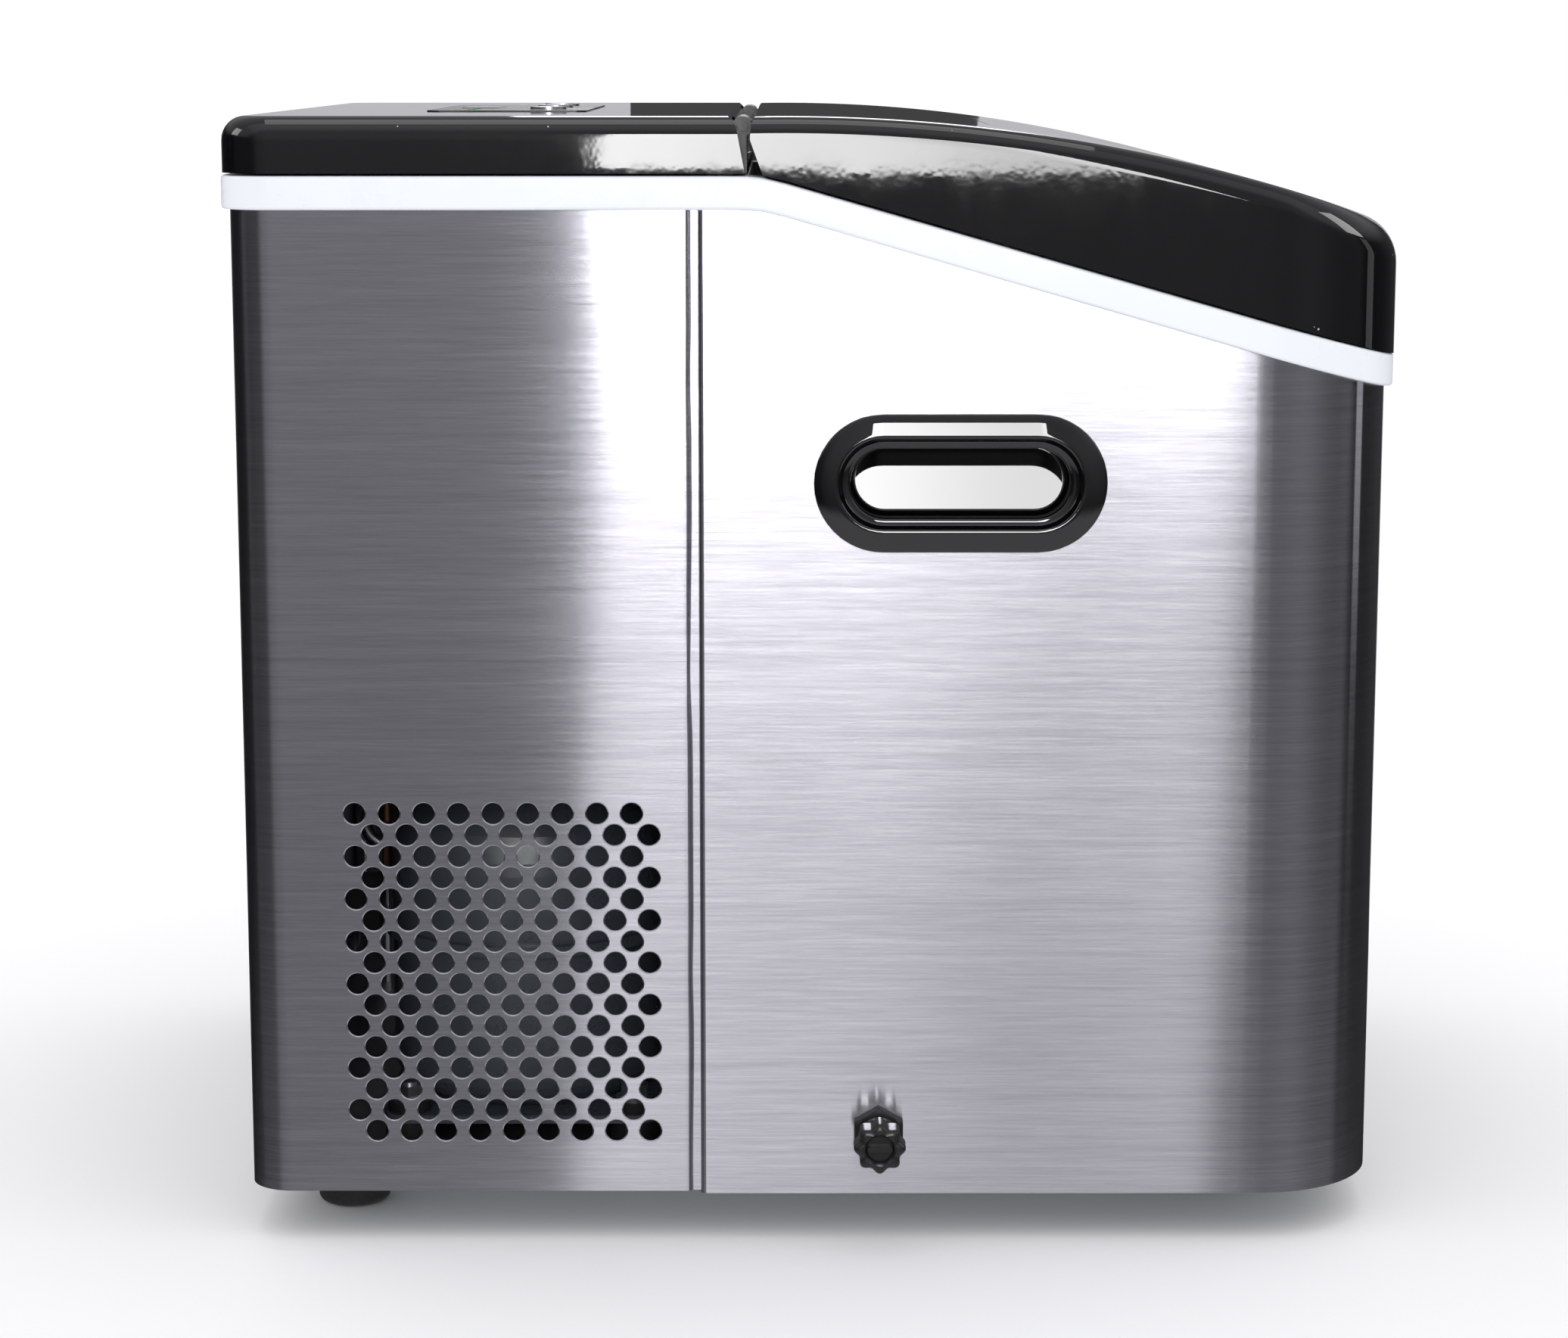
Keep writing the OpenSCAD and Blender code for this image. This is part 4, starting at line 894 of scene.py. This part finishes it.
def build_nut():
    """The hexagonal drain nut, its corners trimmed by a chamfer."""
    nut_low, nut_high = box_mm("drain_nut")
    x0, x1 = nut_low.x - MID_X, nut_high.x - MID_X
    nut = new_bmesh()
    rings = []
    for r, x in ((6.1, x0), (8.7, x0), (9.9, x0 + 0.7), (10.1, x0 + 1.3), (10.1, x1), (6.1, x1)):
        rings.append(ring_x(x, 72, lambda a: min(r, hexagon(a))))
    loft(nut, rings + rings[:1])
    piece("drain_nut_shell", nut, MATTE_BLACK, "cabinet", ["drain_nut"], sharp=30.0)


# ---------------------------------------------------------------- carried CAD nodes
LOOKS = (
    (GALVANISED, ("base_pan", "divider_plate")),
    (ZINC, ("foot_screws", "panel_screws", "machine_screws", "compressor_bolts")),
    (ALUMINIUM, ("condenser",)),
    (NICKEL, ("evaporator",)),
    (COPPER, ("filter_drier", "discharge_tube", "liquid_tube", "suction_tube")),
    (BRASS, ("hot_gas_valve",)),
    (MOTOR, ("tray_motor", "fan_motor")),
    (ENAMEL, ("compressor",)),
    (BUTTON_SILVER, ("power_button", "size_button", "clean_button")),
    (LINER_WHITE, ("lid_liner", "water_tub", "ice_chute", "machine_frame", "ice_shovel", "evaporator_bracket",
                   "float_stem", "level_float")),
    (FROSTED, ("ice_basket", "water_tray")),
    (MATTE_BLACK, ("hinge_brackets", "hinge_pins", "drain_spout", "water_pump", "ice_sensors",
                   "power_inlet")),
    (SHROUD_GREY, ("fan_shroud", "fan_blades")),
    (RUBBER_BLACK, ("feet", "compressor_grommets")),
    (RUBBER_GREY, ("lid_bumpers", "drain_seal")),
    (SILICONE, ("drain_hose", "pump_hose")),
    (FOAM, ("foam_jacket",)),
    (BOARD, ("control_board", "power_board")),
    (PANEL_DARK, ("control_panel",)),
    (DISPLAY, ("display_lens",)),
    (LENS, ("indicator_lenses",)),
)


def dress_nodes():
    for material, names in LOOKS:
        for name in names:
            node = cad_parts[name]
            node.data.materials.clear()
            node.data.materials.append(material)


build_front_panel()
build_rear_panel()
build_trim()
build_cover()
build_lid()
build_hinge_barrels()
curved_patch("lid_window_pane", WINDOW_X, WINDOW_Y[0], WINDOW_Y[1], WINDOW_R, 0.0, WALL - 0.1, SMOKED,
             "lid", ["lid_window"])
curved_patch("lid_window_lip", WINDOW_X + 6, WINDOW_Y[0] - 6, WINDOW_Y[1] + 6, 12.0, WALL, WALL + 2.4,
             MATTE_BLACK, "lid", hole=11.0)
build_cup(-1, "left_grip", "left_handle_cup")
build_cup(1, "right_grip", "right_handle_cup")
build_cap()
build_nut()
dress_nodes()

# ---------------------------------------------------------------- floor, light and camera
# Places here are in metres in the frame.
SIDE_X = (-HALF_W + MID_X) * MM
CAMERA_BACK = 1.275
CAMERA_Y, CAMERA_Z = 0.014, 0.4266
CAMERA_PITCH = math.radians(9.61)
SENSOR_MM, LENS_MM = 36.0, 83.54
FLOOR_REACH = 40.0
NEAR_CLIP = 0.05


def build_floor():
    bm = bmesh.new()
    bmesh.ops.create_grid(bm, x_segments=2, y_segments=2, size=FLOOR_REACH)
    floor = new_object("floor", bm)
    material, tree, connect = new_material("floor_paper", (0.93, 0.93, 0.935), 0.9, Specular_IOR_Level=0.0)
    paper = noise(tree, 700.0, detail=3.0)
    connect("Base Color", tint(tree, paper, (0.92, 0.92, 0.925), (0.94, 0.94, 0.945)))
    floor.data.materials.append(material)
    floor.visible_glossy = False


def softbox(name, place, aim, size, radiance, colour=(1.0, 1.0, 1.0), diffuse=False):
    """A rectangular area light of a given radiance, seen in reflections but not by the camera."""
    light = bpy.data.lights.new(name, "AREA")
    light.shape = "RECTANGLE"
    light.size, light.size_y = size
    light.energy = radiance * math.pi * size[0] * size[1]
    light.color = colour
    lamp = bpy.data.objects.new(name, light)
    lamp.location = place
    lamp.rotation_mode = "QUATERNION"
    lamp.rotation_quaternion = (Vector(aim) - Vector(place)).to_track_quat("-Z", "Y")
    lamp.visible_camera = False
    lamp.visible_diffuse = diffuse
    bpy.context.scene.collection.objects.link(lamp)
    return lamp


def stops(tree, place, pairs):
    """A grey ramp from (position, value) pairs, read at a place from 0 to 1."""
    ramp = add_node(tree, "ValToRGB", {"Fac": place})
    ramp.color_ramp.interpolation = "EASE"
    elements = ramp.color_ramp.elements
    while len(elements) < len(pairs):
        elements.new(0.5)
    for element, (position, value) in zip(elements, pairs):
        element.position = position
        element.color = (value, value, value, 1.0)
    return ramp.outputs["Color"]


# share of the studio's light from the front (0) round past the camera (0.5) to the rear (1)
WORLD_ACROSS = ((0.0, 0.45), (0.2, 0.85), (0.37, 0.75), (0.57, 1.0), (0.72, 0.85), (0.86, 0.25), (1.0, 0.2))


def reflected_level(tree):
    """How bright the studio is in reflections, by direction: its walls, its floor and its ceiling."""
    coords = add_node(tree, "TexCoord")
    split = add_node(tree, "SeparateXYZ", {"Vector": coords.outputs["Generated"]})
    x, y, z = (split.outputs[axis] for axis in "XYZ")
    upward = remap(tree, z, 0.11, 0.35, -0.45, 0.35, "SMOOTHSTEP")
    this_side = remap(tree, x, 0.25, 1.0, 0.1, -0.1, "SMOOTHSTEP")
    across = stops(tree, remap(tree, y, 0.0, 1.0, -1.0, 1.0), WORLD_ACROSS)
    walls = maths(tree, "MULTIPLY", maths(tree, "MULTIPLY", upward, across), this_side)
    floor = remap(tree, z, 0.0, 0.42, -0.31, -0.47, "SMOOTHSTEP")
    ceiling = remap(tree, z, 0.0, 0.3, 0.15, 0.4, "SMOOTHSTEP")
    behind = remap(tree, x, 0.0, 1.0, -0.8, -0.45, "SMOOTHSTEP")
    return maths(tree, "ADD", walls, maths(tree, "ADD", floor, maths(tree, "MULTIPLY", ceiling, behind)))


def build_world():
    """White to the camera, bright for soft diffuse light, and a darker studio in reflections."""
    world = bpy.data.worlds.new("studio")
    bpy.context.scene.world = world
    world.use_nodes = True
    tree = world.node_tree
    soft = tree.nodes["Background"]
    soft.inputs["Color"].default_value = (0.985, 0.985, 1.0, 1.0)
    soft.inputs["Strength"].default_value = 1.12
    reflected = {"Color": (0.97, 0.97, 1.0, 1.0), "Strength": reflected_level(tree)}
    mirror = add_node(tree, "Background", reflected)
    seen = add_node(tree, "Background", {"Color": (1.0, 1.0, 1.0, 1.0)})
    paths = add_node(tree, "LightPath")
    glossy = add_node(tree, "MixShader", {"Fac": paths.outputs["Is Glossy Ray"],
                                          1: soft.outputs["Background"], 2: mirror.outputs["Background"]})
    camera = add_node(tree, "MixShader", {"Fac": paths.outputs["Is Camera Ray"],
                                          1: glossy.outputs["Shader"], 2: seen.outputs["Background"]})
    tree.links.new(camera.outputs["Shader"], tree.nodes["World Output"].inputs["Surface"])


def shade_light(lamp, shares):
    """Varies a softbox across its width: (position, share of its radiance)."""
    light = lamp.data
    light.use_nodes = True
    tree = light.node_tree
    place = add_node(tree, "NewGeometry").outputs["Parametric"]
    split = add_node(tree, "SeparateXYZ", {"Vector": place})
    tree.links.new(stops(tree, split.outputs["X"], shares), tree.nodes["Emission"].inputs["Strength"])


def only_on(lamp, names):
    """Lets a light fall on the named pieces or nodes alone."""
    lit = bpy.data.collections.new(lamp.name + "_on")
    for name in names:
        lit.objects.link(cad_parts[name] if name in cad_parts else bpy.data.objects[name])
    lamp.light_linking.receiver_collection = lit


KEY_Y, KEY_BACK = -0.115, 2.0
KEY_ACROSS = ((0.0, 1.25), (0.35, 1.05), (0.72, 0.75), (1.0, 0.95))
COOL = (0.96, 0.95, 1.0)
BEHIND_VENTS = ("divider_plate", "condenser", "fan_shroud", "fan_motor", "fan_blades", "compressor",
                "filter_drier", "hot_gas_valve", "discharge_tube", "liquid_tube", "suction_tube",
                "power_board")


def build_lights():
    # the key and, below it, the bright table top, both mirrored by the steel of the left side
    for name, height, size, radiance, lit in (("key", 0.97, (0.59, 1.27), 10.5, ()),
                                              ("table", -0.25, (0.59, 1.15), 0.5, STEEL_SKINS)):
        lamp = softbox(name, (SIDE_X - KEY_BACK, KEY_Y, height), (SIDE_X, KEY_Y, height), size, radiance)
        shade_light(lamp, KEY_ACROSS)
        if lit:
            only_on(lamp, lit)
    vents = (SIDE_X, VENT_Y * MM - 0.05, 0.1)
    vent_light = softbox("vent_light", (SIDE_X - 1.6, 0.3, 0.7), vents, (0.8, 0.8), 12.0, diffuse=True)
    only_on(vent_light, BEHIND_VENTS)
    softbox("overhead", (0.1, 0.0, 1.9), (MID_X * MM, 0.0, 0.25), (1.0, 0.9), 1.0, diffuse=True)
    softbox("far_left", (2.3, 0.62, 0.15), (0.2, 0.62, 0.15), (0.9, 1.3), 0.5, COOL)
    softbox("far_right", (2.3, -0.62, 0.15), (0.2, -0.62, 0.15), (0.86, 1.3), 0.5, COOL)
    softbox("front_streak", (0.25, -2.4, 0.4), (0.0, -1.0, 0.4), (0.35, 0.9), 0.4)
    softbox("front", (0.0, -2.3, 1.45), (0.0, 0.0, 0.5), (0.9, 1.0), 3.0)
    softbox("rear", (0.0, 2.4, 1.5), (0.0, 0.0, 0.5), (0.9, 0.9), 2.4)
    softbox("far_key", (2.2, -0.05, 1.45), (0.0, -0.05, 0.6), (0.7, 1.0), 4.0)


def build_camera():
    camera = bpy.data.cameras.new("camera")
    camera.sensor_width = SENSOR_MM
    camera.lens = LENS_MM
    camera.clip_start = NEAR_CLIP
    holder = bpy.data.objects.new("camera", camera)
    bpy.context.scene.collection.objects.link(holder)
    holder.location = (SIDE_X - CAMERA_BACK, CAMERA_Y, CAMERA_Z)
    ahead = Vector((math.cos(CAMERA_PITCH), 0.0, -math.sin(CAMERA_PITCH)))
    holder.rotation_mode = "QUATERNION"
    holder.rotation_quaternion = ahead.to_track_quat("-Z", "Y")
    bpy.context.scene.camera = holder


build_floor()
build_world()
build_lights()
build_camera()
bpy.context.scene.view_settings.view_transform = "Standard"
